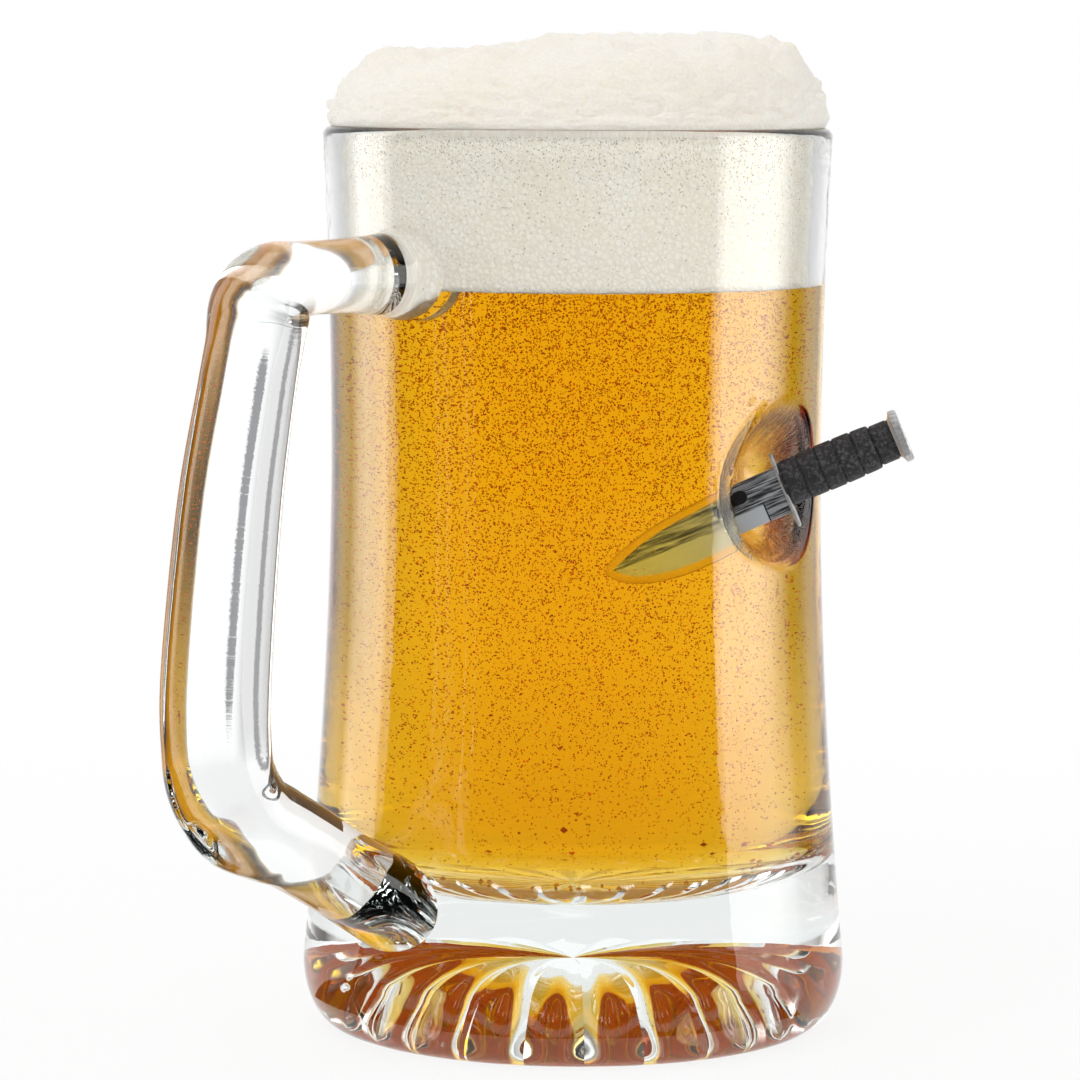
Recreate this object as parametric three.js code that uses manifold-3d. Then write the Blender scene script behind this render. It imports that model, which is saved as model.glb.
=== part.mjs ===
import * as THREE from 'three';
import { mergeVertices } from 'three/addons/utils/BufferGeometryUtils.js';
import Module from 'manifold-3d';

// A heavy pressed-glass beer mug, filled, with a small knife lodged in a recess of its wall.
// Millimetres and degrees, +Z up. The mug's axis is x = y = 0 and its handle points along -X.

const wasm = await Module();
wasm.setup();

// Glass body
const rimHeight = 163.5;
const rimRadius = 46;
const rimThickness = 3;
const waistRadius = 44.5;
const waistDrop = 59.5;
const baseRadius = 49.5;
const baseHeight = 12;
const heelWidth = 6.5;
const wallThickness = 3.4;
const floorHeight = 26.2;
const floorCornerWidth = 18;
const floorCornerRise = 12;

// Fluted underside
const footRingWidth = 2;
const roofHeight = 14.2;
const hubDip = 1.4;
const footStep = 0.4;
const fluteDepth = 2.4;
const fluteCount = 24;
const fluteBearing = 226.5;

// Recess in the wall, and the glass around it
const recessDrop = 64.5;
const recessFloorRadius = 6.6;
const recessCornerRadius = 2;
const recessFlankAngle = 45;
const recessReach = 16;
const recessBearing = 294;
const recessTilt = 5;
const recessWall = 2.2;
const pocketWall = 1.4;

// Handle
const armDrop = 25.3;
const weldHeight = 28.4;
const handleStandoff = 43.6;
const legThickness = 18.8;
const legWidth = 18.8;

// Drink
const frothDepth = 28;
const moundHeight = 15.5;
const moundInset = 0.9;
const moundLumpHeight = 1.6;

// Knife
const guardBearing = 278;
const guardStandoff = 0.4;
const guardRise = 2;
const knifeBearing = 311;
const knifeTilt = 23.4;
const neckReach = 8.4;
const bladeLength = 33.1;
const bladeDepth = 8.8;
const bladeThickness = 1.5;
const bladeBevel = 0.7;
const edgeThickness = 0.3;
const fullerWidth = 2.5;
const fullerStart = 6.5;
const fullerLength = 8.5;
const fullerDepth = 0.3;
const fullerRise = 1.1;
const tangDepth = 3;
const tangThickness = 1.4;
const tangRoot = 3;
const tangEngagement = 1;
const guardThickness = 0.7;
const guardWidth = 5.4;
const guardTopLength = 6.05;
const guardBottomLength = 7.95;
const gripRingCount = 6;
const gripRingPitch = 3.43;
const gripDepth = 8.4;
const gripWidth = 6.4;
const gripRingRound = 0.35;
const pommelDepth = 9.6;
const pommelWidth = 7.6;
const pommelNeckLength = 0.7;
const pommelRimThickness = 1.3;
const pommelRound = 0.3;

// Clearances: between two pieces that touch, and between the blade and its pocket
const gap = 0.3;
const pocketClearance = 0.3;
// How far a cutting solid runs past what it cuts
const overrun = 1;

// How fine the round forms are
const revolveSegments = 64;
const recessSegments = 32;
const samplesPerFlute = 5;
const smallSegments = 20;

const waistHeight = rimHeight - waistDrop;
const boreRadius = waistRadius - wallThickness;
const footRadius = baseRadius - heelWidth;
const sunburstRadius = footRadius - footRingWidth;
const beerHeight = rimHeight - frothDepth;
const recessHeight = rimHeight - recessDrop;
const armHeight = rimHeight - armDrop;

const glass = new THREE.MeshStandardMaterial({ color: 0xdde5e6, roughness: 0.05, metalness: 0 });
const steel = new THREE.MeshStandardMaterial({ color: 0xb4bac2, roughness: 0.3, metalness: 1 });
const grip = new THREE.MeshStandardMaterial({ color: 0x2a292b, roughness: 0.8, metalness: 0 });
const lager = new THREE.MeshStandardMaterial({ color: 0xd89a14, roughness: 0.1, metalness: 0 });
const froth = new THREE.MeshStandardMaterial({ color: 0xf4eee2, roughness: 0.9, metalness: 0 });

const radians = THREE.MathUtils.degToRad;

// A closed solid of a geometry, without the faces that shrink to nothing on an axis
function solidOf(geometry) {
  const bare = geometry.clone();
  bare.deleteAttribute('normal');
  bare.deleteAttribute('uv');
  const merged = mergeVertices(bare);
  const corners = [];
  for (let i = 0; i < merged.index.count; i += 3) {
    const [a, b, c] = [0, 1, 2].map((k) => merged.index.getX(i + k));
    if (a !== b && b !== c && c !== a) corners.push(a, b, c);
  }
  return new wasm.Manifold(new wasm.Mesh({
    numProp: 3,
    vertProperties: merged.attributes.position.array,
    triVerts: new Uint32Array(corners),
  }));
}

function geometryOf(solid) {
  const { vertProperties, triVerts } = solid.getMesh();
  const geometry = new THREE.BufferGeometry();
  geometry.setAttribute('position', new THREE.BufferAttribute(new Float32Array(vertProperties), 3));
  geometry.setIndex(new THREE.BufferAttribute(new Uint32Array(triVerts), 1));
  geometry.computeVertexNormals();
  return geometry;
}

function named(name, solid, material) {
  const mesh = new THREE.Mesh(geometryOf(solid), material);
  mesh.name = name;
  return mesh;
}

// A profile of [radius, height] points turned about +Z
function revolve(profile, segments = revolveSegments) {
  const points = profile.map(([radius, height]) => new THREE.Vector2(radius, height));
  return new THREE.LatheGeometry(points, segments).rotateX(Math.PI / 2);
}

// Rings with equal numbers of points, joined in order and closed at both ends
function loft(rings) {
  const count = rings[0].length;
  const corners = [];
  for (let row = 0; row + 1 < rings.length; row += 1) {
    for (let k = 0; k < count; k += 1) {
      const [a, b] = [row * count + k, row * count + ((k + 1) % count)];
      corners.push(a, b, b + count, a, b + count, a + count);
    }
  }
  const last = (rings.length - 1) * count;
  for (let k = 1; k + 1 < count; k += 1) {
    corners.push(0, k + 1, k, last, last + k, last + k + 1);
  }
  const geometry = new THREE.BufferGeometry();
  const positions = rings.flat().flatMap((point) => point.toArray());
  geometry.setAttribute('position', new THREE.Float32BufferAttribute(positions, 3));
  geometry.setIndex(corners);
  return geometry;
}

function level(bearing) {
  return new THREE.Vector3(Math.cos(radians(bearing)), Math.sin(radians(bearing)), 0);
}

// A frame whose outward axis has a bearing about the mug and rises by a tilt
function frameAt(place, bearing, tilt) {
  const flat = level(bearing);
  const across = new THREE.Vector3(0, 0, 1).cross(flat);
  const outward = flat.clone().applyAxisAngle(across, -radians(tilt));
  const rise = outward.clone().cross(across);
  return { outward, across, rise, place };
}

// Outer wall: drawn in at the waist and flaring to the rim above and to the base below
function outerRadius(height) {
  const upper = height > waistHeight;
  const endRadius = upper ? rimRadius : baseRadius;
  const endHeight = upper ? rimHeight : baseHeight;
  const share = (height - waistHeight) / (endHeight - waistHeight);
  const flarePower = 1.75;
  return waistRadius + (endRadius - waistRadius) * share ** flarePower;
}

// The bore follows the wall above the waist, and runs straight down below it
function innerRadius(height) {
  if (height < waistHeight) return boreRadius;
  const share = (height - waistHeight) / waistDrop;
  const thickness = wallThickness + (rimThickness - wallThickness) * share;
  return outerRadius(height) - thickness;
}

function steps(from, to, count) {
  return Array.from({ length: count + 1 }, (_, i) => from + (to - from) * (i / count));
}

function arc(centreRadius, centreHeight, radiusAcross, radiusUp, from, to, count) {
  return steps(radians(from), radians(to), count).map((angle) => [
    centreRadius + radiusAcross * Math.cos(angle),
    centreHeight + radiusUp * Math.sin(angle),
  ]);
}

// The heel and outer wall, moved outward by an offset
function outerProfile(offset, top) {
  const heel = arc(footRadius, baseHeight, heelWidth + offset, baseHeight + offset, -90, 0, 5);
  const wall = steps(baseHeight, top, 9).slice(1).map((height) => [outerRadius(height) + offset, height]);
  return [...heel, ...wall];
}

// The bore from its top down to the floor, moved inward by an offset
function boreProfile(offset, top) {
  const cornerTop = floorHeight + floorCornerRise;
  const wall = steps(top, cornerTop, 7).map((height) => [innerRadius(height) - offset, height]);
  const [across, up] = [floorCornerWidth - offset, floorCornerRise - offset];
  return [...wall, ...arc(boreRadius - floorCornerWidth, cornerTop, across, up, 0, -90, 5).slice(1)];
}

function envelope(offset) {
  return solidOf(revolve([[0, -offset], ...outerProfile(offset, rimHeight), [0, rimHeight]]));
}

function cup() {
  const lip = rimThickness / 2;
  const lipHeight = rimHeight - lip;
  const lipArc = arc(outerRadius(lipHeight) - lip, lipHeight, lip, lip, 0, 180, 6).slice(1, -1);
  return solidOf(revolve([
    [0, 0],
    ...outerProfile(0, lipHeight),
    ...lipArc,
    ...boreProfile(0, lipHeight),
    [0, floorHeight],
  ]));
}

// The hollow under the base, cut from below. Sharp creases run out from the dipped hub along a flat roof and
// down to the foot, and between them the glass swells into rounded flutes that stand square to the roof.
function sunburst() {
  const samples = fluteCount * samplesPerFlute;
  const radiusShares = [1, 0.96, 0.88, 0.78, 0.64, 0.44, 0.2, 0.03];
  const roofPower = 4.2;
  const dipPower = 4;
  const rise = roofHeight - footStep;
  const ring = (share, heightAt) => {
    const slope = (rise / sunburstRadius) * roofPower * share ** (roofPower - 1);
    const depth = (fluteDepth * share) / Math.hypot(1, slope);
    return Array.from({ length: samples }, (_, k) => {
      const turn = (k / samples) * 360;
      const swell = depth * Math.abs(Math.sin(radians((turn * fluteCount) / 2)));
      const radius = sunburstRadius * share - swell * slope;
      return level(fluteBearing + turn).multiplyScalar(radius).setZ(heightAt(swell));
    });
  };
  const dome = radiusShares.map((share) => {
    const roof = footStep + rise * (1 - share ** roofPower) - hubDip * (1 - share) ** dipPower;
    return ring(share, (swell) => roof - swell);
  });
  return solidOf(loft([ring(1, () => -fluteDepth - overrun), ...dome]));
}

const guardPlace = level(guardBearing)
  .multiplyScalar(outerRadius(recessHeight) + guardStandoff)
  .setZ(recessHeight + guardRise);
const knifeFrame = frameAt(guardPlace, knifeBearing, knifeTilt);
const recessFloor = guardPlace.clone().addScaledVector(level(knifeBearing), -neckReach).setZ(recessHeight);
const recessFrame = frameAt(recessFloor, recessBearing, recessTilt);

function toMug(frame) {
  return new THREE.Matrix4().makeBasis(frame.outward, frame.across, frame.rise).setPosition(frame.place);
}

// The dish pressed into the wall, grown by an offset
function recess(offset) {
  const corner = recessCornerRadius + offset;
  const bend = arc(recessFloorRadius, recessCornerRadius, corner, corner, -90, -recessFlankAngle, 3);
  const [bendRadius, bendHeight] = bend[bend.length - 1];
  const flank = (recessReach - bendHeight) * Math.tan(radians(recessFlankAngle));
  const dish = revolve([[0, -offset], ...bend, [bendRadius + flank, recessReach], [0, recessReach]], recessSegments);
  const upright = new THREE.Matrix4().makeBasis(recessFrame.across, recessFrame.rise, recessFrame.outward);
  return solidOf(dish.applyMatrix4(upright.setPosition(recessFloor)));
}

// The blade's outline from the guard to the tip, as shares of its length and depth
const bladeOutlineShares = [
  [0, 0.4],
  [0, -0.59],
  [0.3, -0.63],
  [0.51, -0.65],
  [0.7, -0.61],
  [0.85, -0.51],
  [0.94, -0.38],
  [1, -0.24],
  [0.27, 0.37],
];
const bladeOutline = bladeOutlineShares.map(([along, up]) => (
  new THREE.Vector2(-(guardThickness / 2 + gap) - bladeLength * along, bladeDepth * up)
));

// An outline moved outward by an offset, with its sharper corners cut across
function grown(outline, offset) {
  const facing = Math.sign(THREE.ShapeUtils.area(outline));
  const sharpTurn = 0.2;
  return outline.flatMap((point, k) => {
    const before = outline[(k + outline.length - 1) % outline.length];
    const after = outline[(k + 1) % outline.length];
    const [first, second] = [point.clone().sub(before), after.clone().sub(point)]
      .map((edge) => new THREE.Vector2(edge.y, -edge.x).normalize().multiplyScalar(facing));
    const middle = first.clone().add(second).normalize();
    const normals = Math.abs(first.cross(second)) > sharpTurn ? [first, middle, second] : [middle];
    return normals.map((normal) => point.clone().addScaledVector(normal, offset));
  });
}

// Knife pieces lie with the grip along +X, the blade's flat across Y and its back up, before the tilt
const flatwise = new THREE.Matrix4().makeBasis(
  new THREE.Vector3(1, 0, 0),
  new THREE.Vector3(0, 0, 1),
  new THREE.Vector3(0, -1, 0),
);
const endwise = new THREE.Matrix4().makeBasis(
  new THREE.Vector3(0, 1, 0),
  new THREE.Vector3(0, 0, 1),
  new THREE.Vector3(1, 0, 0),
);

// A plate of an outline, centred on its thickness, with its edges bevelled
function plate(outline, thickness, bevelSize, bevelThickness) {
  const flat = thickness - 2 * bevelThickness;
  return new THREE.ExtrudeGeometry(new THREE.Shape(outline), {
    depth: flat,
    bevelEnabled: bevelThickness > 0,
    bevelSize,
    bevelOffset: -bevelSize,
    bevelThickness,
    bevelSegments: 1,
  }).translate(0, 0, -flat / 2);
}

// The glass pocket's form: the blade's, grown by an offset
function pocket(offset) {
  const outline = grown(bladeOutline, offset);
  const shape = plate(outline, bladeThickness + 2 * offset, offset / 2, offset / 2);
  return solidOf(shape.applyMatrix4(flatwise).applyMatrix4(toMug(knifeFrame)));
}

const sleeveOffset = pocketClearance + pocketWall;

function glassBody() {
  const wallCore = envelope(-wallThickness / 2);
  const blister = recess(recessWall).add(pocket(sleeveOffset)).intersect(wallCore);
  return cup().add(blister).subtract(recess(0)).subtract(pocket(pocketClearance)).subtract(sunburst());
}

// Stations along the handle: out from the waist and down from the arm, then thickness, width and
// the half-length of each flat of the eight-sided section, all as shares
const handleStationShares = [
  [-0.14, 0, 0.9, 1.1, 0.24],
  [0.02, 0, 0.86, 1.04, 0.24],
  [0.14, 0, 0.74, 0.9, 0.24],
  [0.34, 0, 0.69, 0.85, 0.24],
  [0.56, 0.002, 0.7, 0.86, 0.24],
  [0.69, 0.012, 0.82, 0.9, 0.22],
  [0.77, 0.045, 0.92, 0.93, 0.22],
  [0.8, 0.1, 0.88, 0.9, 0.28],
  [0.84, 0.17, 0.88, 0.9, 0.33],
  [0.93, 0.35, 0.95, 0.95, 0.34],
  [1, 0.6, 1, 1, 0.34],
  [1, 0.72, 1, 1, 0.33],
  [0.97, 0.78, 1, 1, 0.3],
  [0.87, 0.835, 0.98, 1, 0.26],
  [0.73, 0.865, 0.93, 1, 0.24],
  [0.58, 0.893, 0.86, 1, 0.24],
  [0.36, 0.943, 0.82, 1.05, 0.24],
  [0.14, 0.992, 0.85, 1.2, 0.24],
  [-0.08, 1.04, 0.9, 1.3, 0.24],
];

function handle() {
  const drop = armHeight - weldHeight;
  const route = new THREE.CatmullRomCurve3(handleStationShares.map(([out, down]) => (
    new THREE.Vector3(-(waistRadius + handleStandoff * out), 0, armHeight - drop * down)
  )));
  const section = new THREE.CatmullRomCurve3(handleStationShares.map(([, , thick, wide, flat]) => (
    new THREE.Vector3(thick, wide, flat)
  )));
  const faces = 8;
  const aside = new THREE.Vector3(0, 1, 0);
  const rings = steps(0, 1, 34).map((share) => {
    const centre = route.getPoint(share);
    const normal = route.getTangent(share).cross(aside);
    const { x: thick, y: wide, z: flat } = section.getPoint(share);
    return Array.from({ length: faces * 2 }, (_, k) => {
      const turn = (Math.floor(k / 2) / faces) * 2 * Math.PI;
      const side = k % 2 === 0 ? -flat : flat;
      const outShare = Math.cos(turn) - side * Math.sin(turn);
      const acrossShare = Math.sin(turn) + side * Math.cos(turn);
      return centre.clone()
        .addScaledVector(normal, (outShare * thick * legThickness) / 2)
        .addScaledVector(aside, (-acrossShare * wide * legWidth) / 2);
    });
  });
  return solidOf(loft(rings)).subtract(envelope(gap));
}

function beer() {
  const bottom = floorHeight + gap;
  const wall = boreProfile(gap, beerHeight).reverse();
  const drink = solidOf(revolve([[0, bottom], ...wall, [0, beerHeight]]));
  return drink.subtract(recess(recessWall + gap)).subtract(pocket(sleeveOffset + gap));
}

// Froth: a plug in the top of the cup, and a lumpy mound that stands over the rim
function foam() {
  const samples = 60;
  const plugHeights = [beerHeight + gap, beerHeight + frothDepth / 2, rimHeight - rimThickness];
  const ring = (radiusAt, heightAt) => Array.from({ length: samples }, (_, k) => {
    const bearing = (k / samples) * 360;
    return level(bearing).multiplyScalar(radiusAt(bearing)).setZ(heightAt(bearing));
  });
  const plug = plugHeights.map((height) => ring(() => innerRadius(height) - gap, () => height));
  const mouth = innerRadius(rimHeight) - gap;
  const shelf = rimHeight + gap;
  const moundRadius = rimRadius - moundInset;
  // The mound is fuller on the side away from the handle, with lumps round its shoulder
  const thinBearing = 150;
  const unevenShare = 0.08;
  const fullness = (bearing) => 1 - unevenShare * Math.cos(radians(bearing - thinBearing));
  const lumps = (bearing, out) => moundLumpHeight * out * (
    0.5 * Math.sin(radians(3 * bearing + 40)) + 0.5 * Math.sin(radians(7 * bearing + 200 * out))
  );
  const moundShares = [[1, 0], [1.004, 0.22], [0.99, 0.48], [0.95, 0.7], [0.87, 0.86], [0.74, 0.94],
    [0.52, 0.985], [0.26, 1], [0.04, 1]];
  const mound = moundShares.map(([out, up]) => ring(
    (bearing) => moundRadius * out + lumps(bearing, up * (1 - up)),
    (bearing) => shelf + moundHeight * up * fullness(bearing) + lumps(bearing, out) * up,
  ));
  const neck = [ring(() => mouth, () => rimHeight), ring(() => mouth, () => shelf)];
  return solidOf(loft([...plug, ...neck, ...mound]));
}

// The centre of the grip stack, past the guard
const gripStart = guardThickness / 2 + gap;
const gripEnd = gripStart + gripRingCount * gripRingPitch;

function box(from, to, depth, width) {
  const length = to - from;
  return solidOf(new THREE.BoxGeometry(length, width, depth).translate(from + length / 2, 0, 0));
}

function fuller(side) {
  const run = new THREE.Shape();
  const [start, end] = [-fullerStart - fullerWidth / 2, -fullerStart - fullerLength + fullerWidth / 2];
  run.absarc(start, fullerRise, fullerWidth / 2, -Math.PI / 2, Math.PI / 2);
  run.absarc(end, fullerRise, fullerWidth / 2, Math.PI / 2, (3 * Math.PI) / 2);
  const depth = fullerDepth + overrun;
  const cutter = new THREE.ExtrudeGeometry(run, { depth, bevelEnabled: false, curveSegments: 6 });
  const reach = bladeThickness / 2 - fullerDepth;
  cutter.translate(0, 0, side > 0 ? reach : -reach - depth);
  return solidOf(cutter.applyMatrix4(flatwise));
}

function blade() {
  const steelPlate = plate(bladeOutline, bladeThickness, bladeBevel, (bladeThickness - edgeThickness) / 2);
  const tang = box(-guardThickness - tangRoot, gripEnd + tangEngagement, tangDepth, tangThickness);
  return solidOf(steelPlate.applyMatrix4(flatwise)).add(tang).subtract(fuller(1)).subtract(fuller(-1));
}

function tangHole(from, to) {
  return box(from - overrun, to, tangDepth + 2 * gap, tangThickness + 2 * gap);
}

function oval(width, depth) {
  return new THREE.EllipseCurve(0, 0, width / 2, depth / 2).getPoints(smallSegments).slice(0, -1);
}

function guard() {
  const length = guardTopLength + guardBottomLength;
  const outline = oval(guardWidth, length).map((point) => (
    point.setY(point.y + (guardTopLength - guardBottomLength) / 2)
  ));
  const disc = solidOf(plate(outline, guardThickness, guardThickness / 4, guardThickness / 4).applyMatrix4(endwise));
  return disc.subtract(tangHole(-guardThickness, guardThickness + overrun));
}

// Each washer of the grip as a share of its full depth and width
const gripRingShares = [0.965, 0.985, 1, 0.995, 0.97, 0.87];

function gripRing(index) {
  const start = gripStart + index * gripRingPitch;
  const thickness = gripRingPitch - gap;
  const share = gripRingShares[index % gripRingShares.length];
  const outline = oval(gripWidth * share, gripDepth * share);
  const washer = plate(outline, thickness, gripRingRound, gripRingRound).applyMatrix4(endwise);
  washer.translate(start + thickness / 2, 0, 0);
  return solidOf(washer).subtract(tangHole(start, start + thickness + overrun));
}

function pommel() {
  const neckShare = gripRingShares[gripRingShares.length - 1] * (gripDepth / pommelDepth);
  const end = pommelNeckLength + pommelRimThickness;
  const cap = revolve([
    [0, 0],
    [neckShare, 0],
    [neckShare, pommelNeckLength / 3],
    [1 - pommelRound / pommelDepth, pommelNeckLength],
    [1, pommelNeckLength + pommelRound],
    [1, end - pommelRound],
    [1 - (2 * pommelRound) / pommelDepth, end],
    [0, end],
  ], smallSegments);
  cap.scale(pommelWidth / 2, pommelDepth / 2, 1).applyMatrix4(endwise).translate(gripEnd, 0, 0);
  return solidOf(cap).subtract(tangHole(gripEnd, gripEnd + tangEngagement + gap));
}

const knife = new THREE.Group();
knife.applyMatrix4(toMug(knifeFrame));
knife.add(named('blade', blade(), steel));
knife.add(named('guard', guard(), steel));
for (let index = 0; index < gripRingCount; index += 1) {
  knife.add(named(`grip_ring_${index + 1}`, gripRing(index), grip));
}
knife.add(named('pommel', pommel(), steel));

const mug = new THREE.Group();
mug.add(named('glass_body', glassBody(), glass));
mug.add(named('handle', handle(), glass));
mug.add(named('beer', beer(), lager));
mug.add(named('foam_head', foam(), froth));
mug.add(knife);

// The origin is under the middle of the whole object, on the surface it stands on
const bounds = new THREE.Box3().setFromObject(mug, true);
const middle = bounds.getCenter(new THREE.Vector3());
mug.position.set(-middle.x, -middle.y, -bounds.min.z);

export default mug;
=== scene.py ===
"""A filled glass beer mug with a small knife lodged in its wall, dressed around its solids."""

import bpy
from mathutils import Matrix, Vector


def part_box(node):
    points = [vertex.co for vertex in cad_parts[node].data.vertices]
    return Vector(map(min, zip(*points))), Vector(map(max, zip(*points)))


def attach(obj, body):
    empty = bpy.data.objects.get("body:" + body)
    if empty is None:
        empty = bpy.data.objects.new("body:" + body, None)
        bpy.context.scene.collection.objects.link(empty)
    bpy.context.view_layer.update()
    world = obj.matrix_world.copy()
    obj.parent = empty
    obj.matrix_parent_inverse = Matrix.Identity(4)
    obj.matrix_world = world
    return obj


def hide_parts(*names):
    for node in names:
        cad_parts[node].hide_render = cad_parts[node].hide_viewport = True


bl_info = {
    "name": "Beer Mug with Knife",
    "version": (1, 0, 0),
    "blender": (4, 5, 0),
    "location": "3D View > Sidebar > Beer Mug",
    "description": "Builds a filled glass mug, its froth and bubbles, and the small knife in its wall",
    "category": "Add Mesh",
}

import math
import random

import bpy
import numpy as np
from mathutils import Matrix, Vector, noise

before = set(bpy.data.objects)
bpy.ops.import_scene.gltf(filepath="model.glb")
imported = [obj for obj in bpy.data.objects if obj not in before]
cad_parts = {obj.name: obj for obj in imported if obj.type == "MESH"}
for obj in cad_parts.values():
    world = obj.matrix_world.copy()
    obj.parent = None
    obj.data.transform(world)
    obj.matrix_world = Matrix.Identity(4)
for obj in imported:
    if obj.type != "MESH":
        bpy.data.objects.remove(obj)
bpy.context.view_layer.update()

# What the frame gives: the box of the solids, and the glass that everything is placed from
GLASS_LOW, GLASS_HIGH = (Vector(corner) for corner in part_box("glass_body"))
HANDLE_LOW, HANDLE_HIGH = (Vector(corner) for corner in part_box("handle"))
BEER_LOW, BEER_HIGH = (Vector(corner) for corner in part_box("beer"))
AXIS = np.array([(GLASS_LOW.x + GLASS_HIGH.x) / 2, (GLASS_LOW.y + GLASS_HIGH.y) / 2, 0.0])
RIM_HEIGHT = GLASS_HIGH.z
BASE_RADIUS = (GLASS_HIGH.x - GLASS_LOW.x) / 2
BEER_HEIGHT = BEER_HIGH.z

MILLIMETRE = 0.001


# Settings


def length(name, default, description):
    return bpy.props.FloatProperty(
        name=name, default=default, min=0.0, precision=5, unit="LENGTH", subtype="DISTANCE",
        description=description,
    )


def angle(name, degrees, description):
    return bpy.props.FloatProperty(
        name=name, default=math.radians(degrees), unit="ROTATION", subtype="ANGLE", description=description,
    )


def amount(name, default, description):
    return bpy.props.FloatProperty(name=name, default=default, min=0.0, description=description)


def colour(name, default, description):
    return bpy.props.FloatVectorProperty(
        name=name, default=default, size=3, min=0.0, max=1.0, subtype="COLOR", description=description,
    )


class GlassSettings(bpy.types.PropertyGroup):
    """Sizes of the pressed glass, in metres."""

    rim_radius: length("Rim radius", 0.046, "Outside radius at the rim")
    rim_thickness: length("Rim thickness", 0.003, "Thickness of the wall at the rim")
    waist_radius: length("Waist radius", 0.0445, "Outside radius at the waist")
    waist_drop: length("Waist drop", 0.0595, "From the rim down to the waist")
    wall_thickness: length("Wall thickness", 0.0034, "Thickness of the wall at the waist")
    base_height: length("Base height", 0.012, "Height of the widest circle of the base")
    heel_width: length("Heel width", 0.0065, "How far the rounded heel runs in to the foot")
    floor_height: length("Floor height", 0.0262, "Height of the floor inside the cup")
    corner_width: length("Corner width", 0.018, "How far the rounded corner reaches over the floor")
    floor_corner: length("Floor corner", 0.012, "How far the rounded corner reaches up the bore")
    roof_height: length("Roof height", 0.0142, "Height of the roof of the fluted hollow")
    hub_dip: length("Hub dip", 0.0014, "How far the middle of the roof dips")
    foot_width: length("Foot ring width", 0.002, "Width of the ring that the mug stands on, at a crest")
    roof_power: amount("Roof power", 4.2, "How flat the roof of the hollow stays before it falls to the foot")
    flute_depth: length("Flute depth", 0.0024, "Depth of a flute at the foot")
    flute_count: bpy.props.IntProperty(name="Flutes", default=24, min=3, description="Flutes under the base")
    flute_bearing: angle("Flute bearing", 226.5, "Bearing of the first crest")
    recess_drop: length("Recess drop", 0.0645, "From the rim down to the middle of the recess")
    recess_floor: length("Recess floor", 0.0066, "Radius of the floor of the recess")
    recess_round: length("Recess round", 0.0009, "How softly the floor of the recess turns up")
    recess_lip: length("Recess lip", 0.0016, "How softly the recess meets the wall")
    recess_bearing: angle("Recess bearing", 294.0, "Bearing that the recess faces")
    recess_tilt: angle("Recess tilt", 5.0, "How far the recess faces up")
    recess_wall: length("Recess wall", 0.0022, "Glass behind the recess")
    pocket_wall: length("Pocket wall", 0.0014, "Glass round the blade")
    clear: colour("Glass tint", (0.985, 0.995, 0.99), "Tint of the glass surface")
    # The seam's rough finish is real; its dark tint is painted shade
    seam_painted_shade: colour("Seam tint", (0.12, 0.12, 0.13), "Tint of the rough seam that the mould leaves")
    # Painted shade: a dark tint where the glass is met at a glance, in place of the dark rims that bent light gives
    edge_painted_shade: colour("Edge tint", (0.2, 0.19, 0.17), "Tint that the glass takes where it is met at a glance")
    depth_tint: colour("Depth tint", (0.78, 0.87, 0.87), "Tint that thick glass takes")
    # Painted into the glass: amber for the beer seen through the recess, then brown, dark and red shade in its
    # creases
    recess_painted_beer_amber: colour("Recess amber", (0.96, 0.78, 0.36), "Tint of the recess")
    recess_brown_painted_shade: colour("Recess brown", (0.8, 0.4, 0.08), "Tint of the creases under the recess")
    recess_dark_painted_shade: colour("Recess dark", (0.2, 0.12, 0.03), "Tint of the creases over the recess")
    recess_red_painted_shade: colour("Recess red", (0.62, 0.2, 0.03), "Tint of the crumpled far side of the recess")


class HandleSettings(bpy.types.PropertyGroup):
    """Sizes of the solid glass handle, in metres."""

    arm_drop: length("Arm drop", 0.0253, "From the rim down to the middle of the upper arm")
    weld_height: length("Weld height", 0.0284, "Height at which the lower arm meets the base")
    standoff: length("Standoff", 0.0435, "From the waist out to the middle of the leg")
    leg_size: length("Leg size", 0.0188, "Distance across the flats of the leg")
    seam_bearing: angle("Seam bearing", 34.0, "Bearing from the leg's middle to the mould's seam")
    seam_reach: angle("Seam reach", 6.5, "How far the mould's seam reaches to each side")


class DrinkSettings(bpy.types.PropertyGroup):
    """The beer, its bubbles and its froth."""

    overlap: length("Overlap", 0.00012, "How far the drink runs into the wall, so that no air shows between")
    bubble_count: bpy.props.IntProperty(name="Bubbles", default=25000, min=0, description="Bubbles in the beer")
    bubble_radius: length("Bubble radius", 0.00017, "Middle radius of a bubble")
    floor_bubbles: bpy.props.IntProperty(name="Floor bubbles", default=60, min=0, description="Large bubbles")
    mound_height: length("Mound height", 0.0152, "How far the froth stands over the rim")
    mound_inset: length("Mound inset", 0.0006, "How far the froth stays inside the rim's edge")
    drop_count: bpy.props.IntProperty(name="Drops", default=9000, min=0, description="Drops under the rim")
    beer_colour: colour("Beer colour", (0.983, 0.836, 0.0), "What the beer lets through")
    # Painted shade: a bubble is clear air; this dark amber stands in for the shade at its edge
    bubble_painted_shade: colour("Bubble colour", (0.48, 0.2, 0.015), "Colour of a bubble's dark edge")
    froth_colour: colour("Froth colour", (0.95, 0.915, 0.855), "Colour of the froth")


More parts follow.
